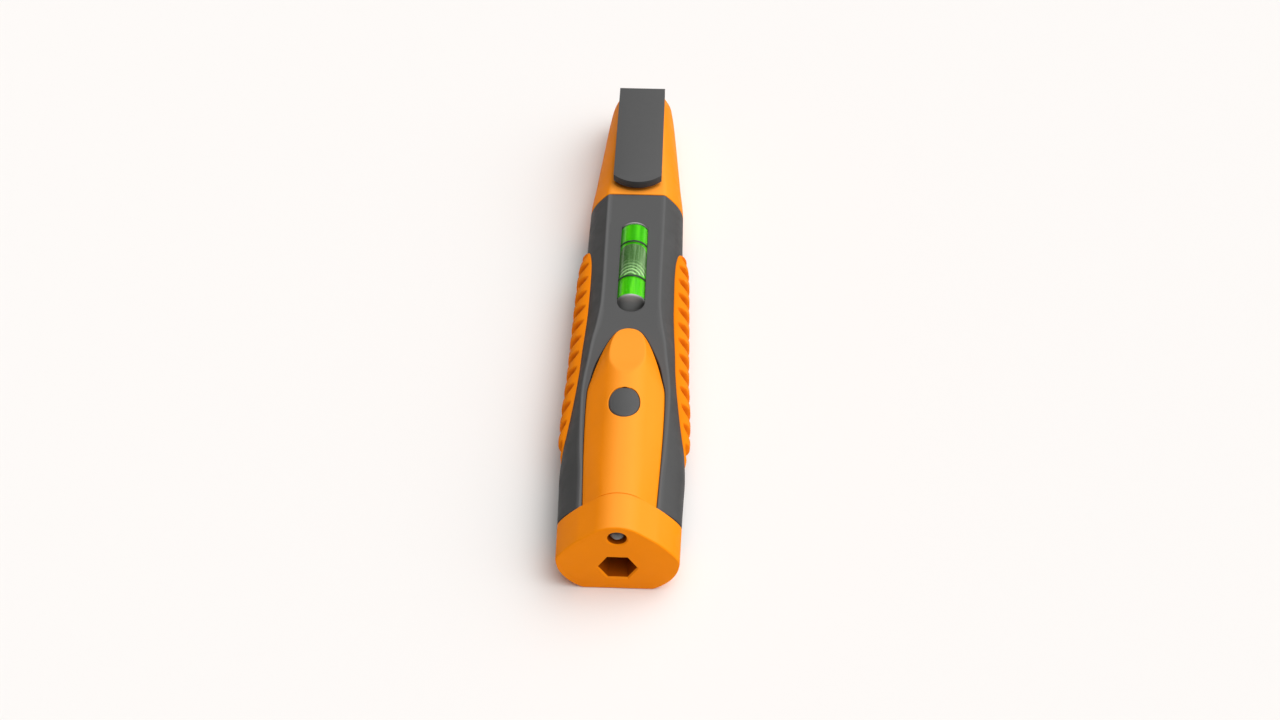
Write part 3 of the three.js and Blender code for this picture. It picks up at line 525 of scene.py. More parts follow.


# In GREY and ORANGE the lighter colour for the tops is painted light, laid on what faces up where light from
# above falls; GREY's other extra colour paints a highlight along its creases.
GREY = moulded(
    "grey_plastic", (0.062,) * 3, 0.5, shade=0.06, gloss=0.08, painted_light_colour=(0.15,) * 3, top_light_colour=(0.095,) * 3,
)
ORANGE = moulded(
    "orange_plastic", (0.98, 0.27, 0.004), 0.5, shade=0.03, gloss=0.03, top_light_colour=(1.0, 0.335, 0.035),
)
# GRIP's extra darker colour is painted shade in the scallops' grooves.
GRIP = moulded(
    "orange_grip", (0.88, 0.235, 0.004), 0.65, grain=0.22, grain_depth=0.02, shade=0.03, gloss=0.05,
    painted_light_colour=(0.5, 0.08, 0.0),
)
# Painted shade: a darker orange for the walls inside the bores.
BORE_SHADE = moulded("orange_bore_shade", (0.36, 0.07, 0.0), 0.6, gloss=0.05)
BUTTON = moulded("button_rubber", (0.094,) * 3, 0.5, shade=0.05, gloss=0.12)
# PLUG's extra lighter colour is a painted highlight down the middle of its face.
PLUG = moulded("vial_plug", (0.15, 0.15, 0.147), 0.35, shade=0.08, painted_light_colour=(0.42, 0.42, 0.41))
BLACK = moulded("black_plastic", (0.02, 0.02, 0.021), 0.45, shade=0.15)
NICKEL = metal("nickel_plate", (0.62, 0.6, 0.56), 0.2)
STEEL = metal("drawn_steel", (0.56, 0.57, 0.58), 0.3, grain=(0.15, 1, 1))
SCREW = metal("zinc_plate", (0.42, 0.42, 0.43), 0.34)
RED = moulded("red_sleeve", (0.5, 0.02, 0.015), 0.35)


def board_material():
    """Green solder mask over copper tracks, with the laminate's weave under it."""
    material, tree, shader = new_material("circuit_laminate", (0.02, 0.14, 0.05), 0.3, Coat_Weight=0.5)
    tracks = texture(
        tree, "TexBrick", 260, Color1=(0.02, 0.16, 0.055, 1), Color2=(0.025, 0.19, 0.07, 1),
        Mortar=(0.05, 0.28, 0.1, 1), Mortar_Size=0.03,
    )
    feed(shader, Base_Color=tracks.outputs["Color"])
    weave = texture(tree, "TexVoronoi", 2200)
    bump(tree, shader, weave.outputs["Distance"], 0.01, 0.3)
    return material


def clear_material(name, colour, roughness, ior, weight):
    material, tree, shader = new_material(name, colour, roughness, IOR=ior, Transmission_Weight=weight)
    dust = noise(tree, 1600, 4.0)
    feed(shader, Roughness=ramp(tree, dust, [(0.4, (roughness,)), (0.75, (roughness + 0.06,))]))
    return material


def streaks(tree, scale, stops):
    """A ramp over noise that is drawn out along Y, the way light runs along a tube."""
    return ramp(tree, noise(tree, scale, 3.0, 0.55, stretch=(1, 0.05, 1)), stops)


def liquid_material():
    """Bright green spirit: a weak emission paints a glow on it, and noise drawn out along the tube paints
    streaks of light and shade.
    """
    material, tree, shader = new_material(
        "green_spirit", (0.07, 0.5, 0.01), 0.3, IOR=1.36, Specular_IOR_Level=0.25,
        # Painted glow: the spirit is no lamp.
        Emission_Color=(0.08, 0.6, 0.0, 1), Emission_Strength=0.16,
    )
    stops = [(0.3, (0.02, 0.3, 0.002)), (0.5, (0.06, 0.5, 0.006)), (0.72, (0.16, 0.75, 0.02))]
    feed(shader, Base_Color=streaks(tree, 700, stops))
    return material


def bubble_material():
    """Air over the spirit: grey-green, with painted streaks of light and shade along the tube and painted
    curved glints at its rear end.
    """
    material, tree, shader = new_material(
        "vial_air", (0.13, 0.2, 0.1), 0.22, IOR=1.3, Specular_IOR_Level=0.4,
    )
    stops = [(0.35, (0.05, 0.12, 0.03)), (0.5, (0.12, 0.23, 0.09)), (0.68, (0.26, 0.38, 0.2))]
    body = streaks(tree, 1100, stops)
    arcs = texture(
        tree, "TexWave", 330, shift=(0.0005, 0.0036, 0), Distortion=2.6, Detail_Scale=1.4,
    )
    arcs.wave_type = "RINGS"
    arcs.rings_direction = "Z"
    glint = ramp(tree, arcs.outputs["Fac"], [(0.55, (0.0,)), (0.8, (1.0,))])
    length = add_node(tree, "SeparateXYZ", own_place(tree)).outputs["Y"]
    near = add_node(tree, "MapRange", length, -0.0028, 0.0022, 0.85, 0.0).outputs["Result"]
    share = add_node(tree, "Math", glint, near, operation="MULTIPLY").outputs["Value"]
    feed(shader, Base_Color=mixed(tree, share, body, (0.6, 0.95, 0.45, 1)))
    return material


BOARD = board_material()
TUBE = clear_material("vial_acrylic", (0.93, 1.0, 0.9), 0.16, 1.12, 1.0)
LIQUID = liquid_material()
BUBBLE = bubble_material()
LENS = clear_material("lamp_resin", (0.15,) * 3, 0.16, 1.45, 0.2)

# -------- outlines in plan


def slot_half(y):
    """Half-width of the vial slot at a station, 0 past its round ends."""
    past_front = np.maximum(y - (SLOT_FRONT - SLOT_FRONT_REACH), 0) / SLOT_FRONT_REACH
    past_rear = np.maximum(SLOT_REAR + SLOT_HALF - y, 0) / SLOT_HALF
    return SLOT_HALF * np.sqrt(np.maximum(1 - past_front**2 - past_rear**2, 0))


def pocket_half(y):
    """Half-width of the opening in the upper shell: the vial slot, and the pocket of the thumb panel."""
    behind = PANEL_TIP + TIP_GAP - y
    gap = TIP_GAP + WIDE_GAP * np.exp(-(((y - WIDE_GAP_AT) / WIDE_GAP_REACH) ** 2))
    pocket = np.sqrt(np.maximum(panel_square(np.maximum(behind, 0)), 0)) + gap * np.minimum(behind / 1.5, 1)
    return np.where(behind > 0, pocket, slot_half(y))


def button_hole(y):
    """Half-width of the button's hole: a squarish curve in front and a half ellipse behind."""
    front = BUTTON_FRONT - BUTTON_WIDEST + BUTTON_MARGIN
    back = BUTTON_WIDEST - BUTTON_REAR + BUTTON_MARGIN
    rise = y - BUTTON_WIDEST
    share = np.clip(np.where(rise > 0, rise / front, -rise / back), 0, 1)
    squareness = np.where(rise > 0, BUTTON_SQUARENESS, 1.0)
    half = (BUTTON_HALF + BUTTON_MARGIN) * np.sqrt(1 - share * share) ** squareness
    inside = (y < BUTTON_FRONT + BUTTON_MARGIN) & (y > BUTTON_REAR - BUTTON_MARGIN)
    return np.where(inside, half, 0.0)


def half_outline(half, front, rear):
    """One side of a plan outline as (x, y) points between two round ends."""
    middle = (front + rear) / 2
    rear_half = around_end(rear, middle - rear, 160)
    front_half = around_end(front, middle - front, 160)[::-1]
    ys = np.concatenate([rear_half, front_half])
    return np.stack([half(ys), ys], 1)


# -------- housing


def shell_with_opening(name, outer, inner, opened):
    """A mirrored wall from an outer and an inner grid, closed down its opening where opened is true."""
    sheet = Sheet()
    out = sheet.add(np.array(outer))
    back = sheet.add(np.array(inner))
    sheet.skin(out)
    sheet.skin(back[:, ::-1])
    sheet.skin(np.stack([back[:, 0], out[:, 0]], 1))
    for i in np.flatnonzero(opened[:-1] & opened[1:]):
        sheet.skin(np.array([[out[i, -1], back[i, -1]], [out[i + 1, -1], back[i + 1, -1]]]))
    for end in (0, -1):
        sheet.skin(np.stack([out[end], back[end]], 0))
    sheet.mirror()
    return finish_mesh(name, sheet)


def upper_flank(y, count):
    """Flank of the upper shell from the parting line to the crease, with the crease's rounding."""
    side, crease, height = side_half(y), crease_half(y), crease_height(y)
    corner = (crease, height)
    steer = (side, shoulder_height(y))
    setback = min(CREASE_ROUND, CREASE_ROUND * max(crease - pocket_half(y), 0.3))
    stop = 1 - setback / math.hypot(steer[0] - corner[0], corner[1] - steer[1]) / 2
    flank = bend((side, PARTING), steer, corner, np.linspace(0.02, stop, count))
    rounding = bend(flank[-1], corner, (crease - setback, height), np.linspace(0, 1, 6)[1:])
    low = PARTING + SEAM / 2
    lip = [(side - LIP_DEPTH, low), (side - LIP_ROUND, low + LIP_ROUND)]
    return np.concatenate([lip, flank, rounding])


def upper_housing():
    rear, front = CAP_SEAM + SEAM, NOSE_SEAM - SEAM
    tip = PANEL_TIP + TIP_GAP
    ys = merged_stations(
        spaced(rear, front, 0.7),
        around_end(SLOT_REAR, SLOT_HALF, 16), around_end(SLOT_FRONT, -SLOT_FRONT_REACH, 16),
        around_end(tip, -4, 22), [SLOT_REAR - EDGE / 2, SLOT_FRONT + EDGE / 2, tip + EDGE / 2],
        [SLOT_REAR - EDGE, SLOT_FRONT + EDGE, tip + EDGE], near_ends(rear, front),
    )
    slot_edge = half_outline(slot_half, SLOT_FRONT, SLOT_REAR)
    pocket_ys = tip - 50 * np.linspace(0, 1, 400) ** 2
    pocket_edge = np.stack([pocket_half(pocket_ys), pocket_ys], 1)
    outer, inner = [], []
    near_edge = EDGE * EDGE_STEPS[::-1]
    for y in ys:
        opening = float(pocket_half(y))
        flank = upper_flank(y, 14)
        flat_start = flank[-1, 0]
        flat = opening + (flat_start - opening - EDGE) * np.linspace(1, 0, 9)[1:-1] + EDGE
        x = np.concatenate([flank[:, 0], flat, opening + near_edge])
        top = crease_height(y)
        z = np.concatenate([flank[:, 1], np.full(len(flat) + len(near_edge), top)])
        plan = np.stack([x, np.full(len(x), y)], 1)
        rim = 0.1 + EDGE * min(max((SLOT_REAR + SLOT_HALF - y) / SLOT_HALF, 0), 1)
        drop = edge_drop(outline_distance(plan, slot_edge), rim)
        drop += edge_drop(outline_distance(plan, pocket_edge), EDGE)
        on_flat = np.arange(len(x)) >= len(flank) - 1
        shaped = z - np.where(on_flat, drop, 0)
        shrink = (side_half(y) - WALL - opening) / (side_half(y) - opening)
        ceiling = PARTING + (z - PARTING) * (top - WALL - PARTING) / (top - PARTING)
        end_round = edge_drop(min(y - rear, front - y), SEAM_ROUND)
        outer.append(at_station(y, np.maximum(x - end_round, 0), shaped - end_round * on_flat))
        inner.append(at_station(y, opening + (x - opening) * shrink, ceiling))
    opened = pocket_half(ys) > 0
    for end in (tip, SLOT_REAR, SLOT_FRONT):
        opened |= np.isclose(ys, end)
    shell = shell_with_opening("upper_shell", outer, inner, opened)
    deck_ys = merged_stations(spaced(rear, -30, 4), spaced(-30, tip + 0.4, 1.2))
    overlap, low, high = 0.8, 10, 11.6
    right = np.stack([pocket_half(deck_ys) + overlap, deck_ys], 1)
    join(shell, prism("deck", np.concatenate([right, right[::-1] * (-1, 1)]), low, high))
    room, play = 0.2, 0.04
    ends = (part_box("vial_plug_rear")[0].y / MM - room, VIAL_END + room)
    bore = [(VIAL_RADIUS + play, end) for end in ends]
    cut(shell, lathe("vial_bore", bore, VIAL_CENTRE, turns=96))
    # Paints a light line along the creases: a painted highlight.
    set_painted_light(shell, crease_highlight)
    return shell


def crease_highlight(x, y, z):
    """1 on the left crease beside the top facet, where a light line is painted as a highlight, and less on
    the right one.
    """
    reach = 0.42
    away = math.hypot(abs(x) - float(crease_half(y)) + 0.12, z - float(crease_height(y)) + 0.1)
    return max(1 - (away / reach) ** 2, 0) * (1 if x < 0 else 0.35)


def node_place(node):
    """The middle of a CAD node in plan, and its lowest and highest point."""
    low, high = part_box(node)
    return (low.x + high.x) / 2 / MM, (low.y + high.y) / 2 / MM, low.z / MM, high.z / MM


def screw_hole(node):
    """A cutter for a recessed screw head with a chamfered mouth, and for the shank above it."""
    x, y, _, tip = node_place(node)
    head, shank, seat = 1.9, 1.1, 1.6
    steps = [(head + 0.35, -0.1), (head, 0.22), (head, seat - 0.05), (shank, seat), (shank, tip + 0.3)]
    return lathe("screw_hole", steps, (x, y, 0), axis="Z", turns=48)


def base_section(y, count=14):
    """Half of a section below the parting line: the lower flank, a rounded edge and the flat base."""
    side, base = side_half(y), base_half(y)
    flank = bend((side, PARTING), (side, LOWER_STEER), (base, 0), np.linspace(0.02, 0.9, count))
    rounding = bend(flank[-1], (base, 0), (base - BASE_ROUND, 0), np.linspace(0, 1, 6)[1:])
    flat = np.stack([np.linspace(base - BASE_ROUND, 0, 7)[1:], np.zeros(6)], 1)
    return np.concatenate([flank, rounding, flat])


def lower_housing():
    rear, front = CAP_SEAM + SEAM, NOSE_SEAM - SEAM
    ys = merged_stations(spaced(rear, front, 0.9), near_ends(rear, front))
    outer, inner = [], []
    for y in ys:
        side = side_half(y)
        low = PARTING - SEAM / 2
        lip = [(side - LIP_DEPTH, low), (side - LIP_ROUND, low - LIP_ROUND)]
        half = np.concatenate([lip, base_section(y)])
        end_round = edge_drop(min(y - rear, front - y), SEAM_ROUND)
        x, z = half[:, 0], half[:, 1]
        lift = WALL + z * (PARTING - WALL) / PARTING
        outer.append(at_station(y, np.maximum(x - end_round, 0), z + end_round * (z < 4)))
        inner.append(at_station(y, x * (side - WALL) / side, np.minimum(lift, low)))
    shell = shell_with_opening("lower_shell", outer, inner, np.zeros(len(ys), bool))
    frame_half, wall_half, bay_half = 6.6, 5.5, 4.4
    frame_front, bay_rear = DOOR_FRONT + 1.6, -35.5
    door_frame = block("door_frame", (-frame_half, DOOR_REAR - 0.9, 0.9), (frame_half, frame_front, 3))
    cell_walls = block("cell_walls", (-wall_half, bay_rear - 0.9, 0.9), (wall_half, frame_front, 7.6))
    join(shell, door_frame, cell_walls)
    half = DOOR_HALF + DOOR_GAP
    doorway = block("doorway", (-half, DOOR_REAR - DOOR_GAP, -1), (half, DOOR_FRONT + DOOR_GAP, 1.6))
    bay = block("bay", (-bay_half, bay_rear, -1), (bay_half, DOOR_FRONT + 0.7, 9))
    cut(shell, bevelled(doorway, 0.6, angle=60), bay)
    for node in BODY_SCREWS:
        cut(shell, screw_hole(node))
    return cut(shell, screw_hole("door_screw"))


def battery_door():
    low, high = (-DOOR_HALF, DOOR_REAR, 0), (DOOR_HALF, DOOR_FRONT, 1.4)
    door = bevelled(block("battery_cover", low, high), 0.25, angle=60)
    first, pitch, radius, half = DOOR_FRONT - 1.9, 1.1, 0.35, 3
    for i in range(3):
        centre = (0, first - pitch * i, -0.05)
        groove = lathe("thumb_groove", [(radius, -half), (radius, half)], centre, axis="X", turns=24)
        cut(door, groove)
    return cut(door, screw_hole("door_screw"))


# -------- nose and rear cap


def nose_section(y):
    """Closed outline of the nose: base, flanks and flat top, drawn in towards the tip."""
    past = max(0, y - (NOSE - TIP_CORNER))
    pull = TIP_CORNER - math.sqrt(max(TIP_CORNER**2 - past * past, 0))
    side = side_half(y)
    lower = base_section(y, count=12)[::-1]
    steer = (side, shoulder_height(y))
    peak = (crease_half(y), crease_height(y))
    flank = bend((side, PARTING), steer, peak, np.linspace(0.06, 0.93, 12))
    flat_start = peak[0] - 0.8
    rounding = bend(flank[-1], peak, (flat_start, peak[1]), np.linspace(0, 1, 6)[1:])
    flat = np.stack([np.linspace(flat_start, 0, 6)[1:], np.full(5, peak[1])], 1)
    half = np.concatenate([lower, flank, rounding, flat])
    middle = 6
    fall = (nose_height(y) - middle) / (TOP - middle)
    half[:, 0] *= (side - pull) / side
    high = half[:, 1] > middle
    half[high, 1] = middle + (half[high, 1] - middle) * fall
    tip_round = edge_drop(NOSE - y, 1.2)
    half[~high, 1] = tip_round + half[~high, 1] * (middle - tip_round) / middle
    return closed_ring(y, half)


def nose():
    rear = NOSE_SEAM + SEAM
    tip_start = NOSE - TIP_CORNER - 0.1
    ys = merged_stations(
        near_ends(rear, tip_start)[:3], spaced(rear, tip_start, 1.2), around_end(NOSE, -TIP_CORNER, 26),
    )
    rings = []
    for y in ys:
        ring = nose_section(y)
        centre = np.array([0, y, 7])
        shrink = 1 - edge_drop(y - rear, SEAM_ROUND) / 11
        rings.append(centre + (ring - centre) * (shrink, 1, shrink))
    inner = []
    for y in (NOSE - 3, NOSE - 4.5, *spaced(NOSE - 8, rear + 2, 6), rear):
        ring = nose_section(y)
        centre = np.array([0, y, ring[:, 2].mean()])
        width = (side_half(y) - WALL) / side_half(y)
        height = (nose_height(y) - 3.2) / nose_height(y)
        inner.append(centre + (ring - centre) * (width * 0.97, 1, height))
    shell = rings_mesh("nose_shell", rings)
    hollow = rings_mesh("nose_hollow", [inner[-1] - (0, 1.0, 0), *inner[::-1]])
    cut(shell, hollow)
    half = FOOT_HALF + FOOT_GAP
    foot_slot = block("foot_slot", (-half, FOOT_REAR - FOOT_GAP, 12), (half, 64.35, 20))
    return cut(shell, foot_slot)


def cap_section(y, inset):
    """Closed outline of the rear cap, drawn in by an inset."""
    side = side_half(y) - inset
    base = base_half(y) - 0.5 * inset
    flat = np.stack([np.linspace(0, base - 0.15, 6), np.full(6, inset)], 1)
    lower = bend((base, inset), (side, LOWER_STEER + 0.5 * inset), (side, PARTING), np.linspace(0.02, 1, 20))
    edge = bend(flat[-1], (base, inset), lower[0], np.linspace(0, 1, 5)[1:-1])
    drop = inset * math.hypot(1, CROWN_SLOPE)
    start = CAP_SHOULDER - 0.6 * inset
    top = (start, float(crown_height(start)) - drop)
    shoulder = bend((side, PARTING), (side, CAP_STEER), top, np.linspace(0, 1, 18)[1:])
    xs = np.concatenate([np.linspace(start, CROWN_ROUND, 8)[1:], np.linspace(CROWN_ROUND, 0, 16)[1:]])
    ridge = np.stack([xs, crown_height(xs) - drop], 1)
    half = np.concatenate([flat, edge, lower, shoulder, ridge])
    return closed_ring(y, half)


def rear_cap():
    front = CAP_SEAM - CAP_GAP / 2
    face_round, seam_round = 0.35, 0.07
    depths = face_round * np.array([0, 0.08, 0.3, 0.6, 1])
    rings = [cap_section(REAR + d, edge_drop(d, face_round)) for d in depths]
    rings += [cap_section(y, 0) for y in spaced(REAR + 1.2, front - 0.6, 1.3)]
    rings += [cap_section(front - d, edge_drop(d, seam_round)) for d in (seam_round, 0.04, 0)]
    cap = rings_mesh("bit_cap", rings)
    boss_radius, magnet_radius = 4.7, 3.65
    boss = [(boss_radius, front - 2), (boss_radius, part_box("rear_cap")[1].y / MM)]
    join(cap, lathe("boss", boss, (0, 0, HEX_HEIGHT)))
    radius = HEX_FLATS / math.sqrt(3)
    chamfer = 0.3
    mouth = [
        (radius + chamfer + 0.1, REAR - 0.1), (radius, REAR + chamfer),
        (radius, HEX_END), (0.4, HEX_END + 1.2),
    ]
    socket = lathe("socket", mouth, (0, 0, HEX_HEIGHT), turns=6, sharp_angle=20)
    bore = [(magnet_radius, HEX_END - 0.05), (magnet_radius, HEX_END + 4)]
    magnet_bore = lathe("magnet_bore", bore, (0, 0, HEX_HEIGHT))
    seat, seat_radius = -69.2, 2.3
    steps = [
        (LED_HOLE + 0.35, REAR - 0.1), (LED_HOLE, REAR + 0.25), (LED_HOLE, seat),
        (seat_radius, seat), (seat_radius, front + 1),
    ]
    lamp_bore = lathe("lamp_bore", steps, (0, 0, LED_HEIGHT), turns=72)
    return cut(cap, socket, magnet_bore, lamp_bore)


def paint_bore_shade(cap):
    """Paints shade on the walls of the bit socket and of the lamp's bore: a darker orange where shade falls
    inside them.
    """
    cap.data.materials.append(BORE_SHADE)
    for face in cap.data.polygons:
        x, y, z = (c / MM for c in face.center)
        in_socket = math.hypot(x, z - HEX_HEIGHT) < HEX_FLATS / 2 + 0.35
        in_lamp_bore = math.hypot(x, z - LED_HEIGHT) < LED_HOLE + 0.05
        if y > REAR + 0.28 and (in_socket or in_lamp_bore):
            face.material_index = 1


# -------- thumb panel and button


def thumb_panel():
    rear = CAP_SEAM + CAP_GAP / 2
    hole_round, cap_round = 0.16, 0.07
    front_hole, rear_hole = BUTTON_FRONT + BUTTON_MARGIN, BUTTON_REAR - BUTTON_MARGIN
    ys = merged_stations(
        spaced(rear, -47, 0.9), spaced(-47, -36, 0.35), spaced(-36, -20, 0.22), around_end(PANEL_TIP, -3, 26),
        around_end(front_hole, -2.5, 16), around_end(rear_hole, 1.8, 16),
        [front_hole + 0.1, front_hole + 0.2, rear_hole - 0.1, rear_hole - 0.2, rear + 0.05, rear + 0.15],
    )
    tip_ys = PANEL_TIP - 48 * np.linspace(0, 1, 500) ** 2
    rim = np.stack([panel_half(tip_ys), tip_ys], 1)
    hole_edge = half_outline(button_hole, front_hole - 1e-4, rear_hole + 1e-4)
    outer, inner = [], []
    for y in ys:
        half, opening = float(panel_half(y)), float(button_hole(y))
        fall = EDGE * EDGE_STEPS
        room = half - opening
        near_rim = half - np.minimum(fall, room / 3)
        near_hole = opening + np.minimum(fall[::-1], room / 3)
        across = np.linspace(near_rim[-1], near_hole[0], 34)[1:-1]
        x = np.concatenate([near_rim, across, near_hole])
        plan = np.stack([x, np.full(len(x), y)], 1)
        rounding = edge_drop(outline_distance(plan, rim), EDGE)
        rounding += edge_drop(outline_distance(plan, hole_edge), hole_round)
        rounding += edge_drop(y - rear, cap_round)
        top = panel_height(x, y)
        wall = np.array([[half, PANEL_FLOOR], [half, (PANEL_FLOOR + top[0]) / 2]])
        face = np.concatenate([wall, np.stack([x, top - rounding], 1)])
        under = np.concatenate([wall, np.stack([x, np.maximum(top - WALL, PANEL_FLOOR)], 1)])
        under[1, 1] = PANEL_FLOOR + 0.3
        thickness = min(1.5, 0.45 * room)
        under[:, 0] = opening + (under[:, 0] - opening) * (room - thickness) / max(room, 1e-6)
        outer.append(np.insert(face, 1, y, axis=1))
        inner.append(np.insert(under, 1, y, axis=1))
    opened = (ys <= front_hole + 1e-6) & (ys >= rear_hole - 1e-6)
    return shell_with_opening("thumb_cover", outer, inner, opened)


def button_outline(margin):
    angles = np.linspace(0, 2 * math.pi, 96, endpoint=False)
    cos, sin = np.cos(angles), np.sin(angles)
    length = np.where(sin > 0, BUTTON_FRONT - BUTTON_WIDEST, BUTTON_WIDEST - BUTTON_REAR) + margin
    squareness = np.where(sin > 0, BUTTON_SQUARENESS, 1)
    x = (BUTTON_HALF + margin) * np.sign(cos) * np.abs(cos) ** squareness
    return np.stack([x, BUTTON_WIDEST + length * sin], 1)


def power_button():
    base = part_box("power_button")[0].z / MM
    rings = []
    for margin, rise in ((0.5, 0), (0.55, 0.1), (0.55, 0.45), (0.5, 0.5), (0, 0.5)):
        rings.append(np.insert(button_outline(margin), 2, base + rise, axis=1))
    edge = 0.3
    for inset in edge * np.append(EDGE_STEPS, (2, 3.5, 5, 7, 9)):
        outline = button_outline(-inset)
        height = crown_height(outline[:, 0]) - edge_drop(inset, edge) + 0.02
        rings.append(np.insert(outline, 2, height, axis=1))
    return rings_mesh("lamp_button", rings)


# -------- side grips

GRIP_FRONT, GRIP_REAR = 13.8, -50.2
GRIP_SEAT = 0.35  # how deep a grip lies in the shells
GROOVE_COUNT = 14
GROOVE_FIRST = 10.6
GROOVE_PITCH = 4.65
GROOVE_DEPTH = 1.5
GROOVE_LENGTH = 2.7
GROOVE_STEP = 0.3  # length of the steep front wall of a groove


def flank_point(y, z, outwards):
    """Point on the body's flank at a height, moved outwards."""
    side = side_half(y)
    if z >= PARTING:
        a, b, c = (side, PARTING), (side, shoulder_height(y)), (crease_half(y), crease_height(y))
    else:
        a, b, c = (side, PARTING), (side, LOWER_STEER), (base_half(y), 0.0)
    quadratic = a[1] - 2 * b[1] + c[1]
    linear = 2 * (b[1] - a[1])
    root = math.sqrt(max(linear * linear - 4 * quadratic * (a[1] - z), 0))
    if abs(quadratic) < 1e-6:
        t = (z - a[1]) / linear
    else:
        t = (math.copysign(root, linear) - linear) / (2 * quadratic)
    x = (1 - t) ** 2 * a[0] + 2 * t * (1 - t) * b[0] + t * t * c[0]
    across = (1 - t) * (b[0] - a[0]) + t * (c[0] - b[0])
    rise = (1 - t) * (b[1] - a[1]) + t * (c[1] - b[1])
    length = math.hypot(across, rise)
    turn = 1 if z >= PARTING else -1
    return x + turn * rise / length * outwards, z - turn * across / length * outwards


def groove_depth(y, z):
    """Depth of the scallops: a steep step that faces the rear and fades out behind it.

    Each is pointed at both ends, and half as deep below the grip's widest line as above it.
    """
    top, bottom = grip_upper(y), grip_lower(y)
    middle = (top + bottom) / 2
    reach = max((top - bottom) / 2 - 0.35, 0.05)
    span = min(abs(z - middle) / reach, 1)
    taper = 1 - span**4
    lean = 0.9 * (1 - (z - bottom) / max(top - bottom, 0.1))
    behind = GROOVE_FIRST - (y + lean)
    if behind < -GROOVE_STEP or behind > GROOVE_COUNT * GROOVE_PITCH - 0.4:
        return 0.0
    phase = (behind + GROOVE_STEP) % GROOVE_PITCH - GROOVE_STEP
    length = GROOVE_LENGTH * (0.35 + 0.65 * taper)
    step = min((phase + GROOVE_STEP) / GROOVE_STEP, 1)
    step = step * step * (3 - 2 * step)
    fade = max(1 - max(phase, 0) / length, 0)
    share = 0.5 + 0.5 * min(max((z - 8) / 2.5, 0), 1)
    return GROOVE_DEPTH * share * taper * step * fade


def grip(side):
    ys = merged_stations(
        around_end(GRIP_FRONT, -2.0, 14), spaced(GRIP_FRONT - 2, GRIP_REAR + 3, 0.11),
        around_end(GRIP_REAR, 3.0, 14),
    )
    rings = []
    steps = 30
    for y in ys:
        crest = grip_half(y) - side_half(y)
        end = min(1.0, max((GRIP_FRONT - y) / 3.4, 0) ** 0.8, max((y - GRIP_REAR) / 5, 0) ** 0.5)
        top, bottom = grip_upper(y), grip_lower(y)
        middle = (top + bottom) / 2
        outer, inner = [], []
        for i in range(steps + 1):
            angle = math.pi * i / steps
            s = (1 - math.cos(angle)) / 2
            z = middle + (bottom + (top - bottom) * s - middle) * max(end, 0.02)
            swell = (1 - abs(2 * s - 1) ** 2.6) ** 0.8
            thick = max(crest, 0.1) * swell * end
            proud = 0.04 + thick - min(groove_depth(y, z), 0.85 * thick)
            outer.append(flank_point(y, z, proud))
            inner.append(flank_point(y, z, -GRIP_SEAT))
        ring = np.array(outer + inner[::-1])
        rings.append(at_station(y, side * ring[:, 0], ring[:, 1]))
    piece = rings_mesh("grip_left" if side < 0 else "grip_right", rings, 60)
    # Painted shade in the grooves, darkest at each steep step.
    set_painted_light(piece, lambda x, y, z: min(groove_depth(y, z) / GROOVE_DEPTH, 1) ** 1.8)
    return piece


# -------- clip


def pocket_clip():
    low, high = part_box("pocket_clip")
    half, far, tip, top = high.x / MM, high.y / MM, low.y / MM, high.z / MM
    reach = CLIP_END_CORNER - tip
    radius = (half * half + reach * reach) / (2 * reach)
    spread = math.asin(half / radius)
    angles = np.linspace(-spread, spread, 41)
    arc = np.stack([radius * np.sin(angles), tip + radius - radius * np.cos(angles)], 1)
    outline = np.concatenate([arc, [(half, far), (-half, far)]])
    bar = prism("belt_clip", outline, CLIP_UNDERSIDE, top)
    foot_low = (-FOOT_HALF, FOOT_REAR, low.z / MM)
    foot = block("foot", foot_low, (FOOT_HALF, far - 0.02, CLIP_UNDERSIDE + 0.5))
    join(bar, foot)
    return bevelled(bar, 0.32)


# -------- spirit vial


def rounded_rod(name, rear, front, radius, edge):
    ends = edge * EDGE_STEPS
    profile = [(radius - edge_drop(e, edge), rear + e) for e in ends]
    profile += [(radius - edge_drop(e, edge), front - e) for e in ends[::-1]]
    return lathe(name, profile, VIAL_CENTRE, turns=96)


def vial_plug(node, outwards):
    """An end plug of the vial, with a gently domed outer face."""
    low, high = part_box(node)
    inner, outer = (high.y / MM, low.y / MM) if outwards < 0 else (low.y / MM, high.y / MM)
    angles = np.linspace(0, 1, 12) * math.pi / 2
    dome = [(VIAL_BORE * math.cos(a), outer + outwards * 0.18 * math.sin(a)) for a in angles]
    profile = [(0, inner), (VIAL_RADIUS, inner), (VIAL_RADIUS, outer - outwards * 0.1), (3.3, outer), *dome]
    disc = lathe(f"{node}_disc", profile, VIAL_CENTRE, turns=96, sharp_angle=50)
    # Painted highlight: a lighter band down the middle of the plug's domed face.
    set_painted_light(disc, lambda x, y, z: max(1 - (x / 2.4) ** 2, 0))
    return disc


def vial():
    tube_low, tube_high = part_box("vial_tube")
    rear, front = tube_low.y / MM, tube_high.y / MM
    tube = rounded_rod("vial_glass", rear, front, VIAL_RADIUS, 0.1)
    bore = lathe("bore", [(VIAL_BORE, rear - 1), (VIAL_BORE, front + 1)], VIAL_CENTRE, turns=96)
    cut(tube, bore)
    liquid = rounded_rod("vial_spirit", rear + 0.03, front - 0.03, VIAL_BORE - 0.04, 0.1)
    bands = {}
    for node in ("vial_ring_rear", "vial_ring_front"):
        bands[node] = band(node.replace("ring", "band"), node_place(node)[1])
    return tube, liquid, bands


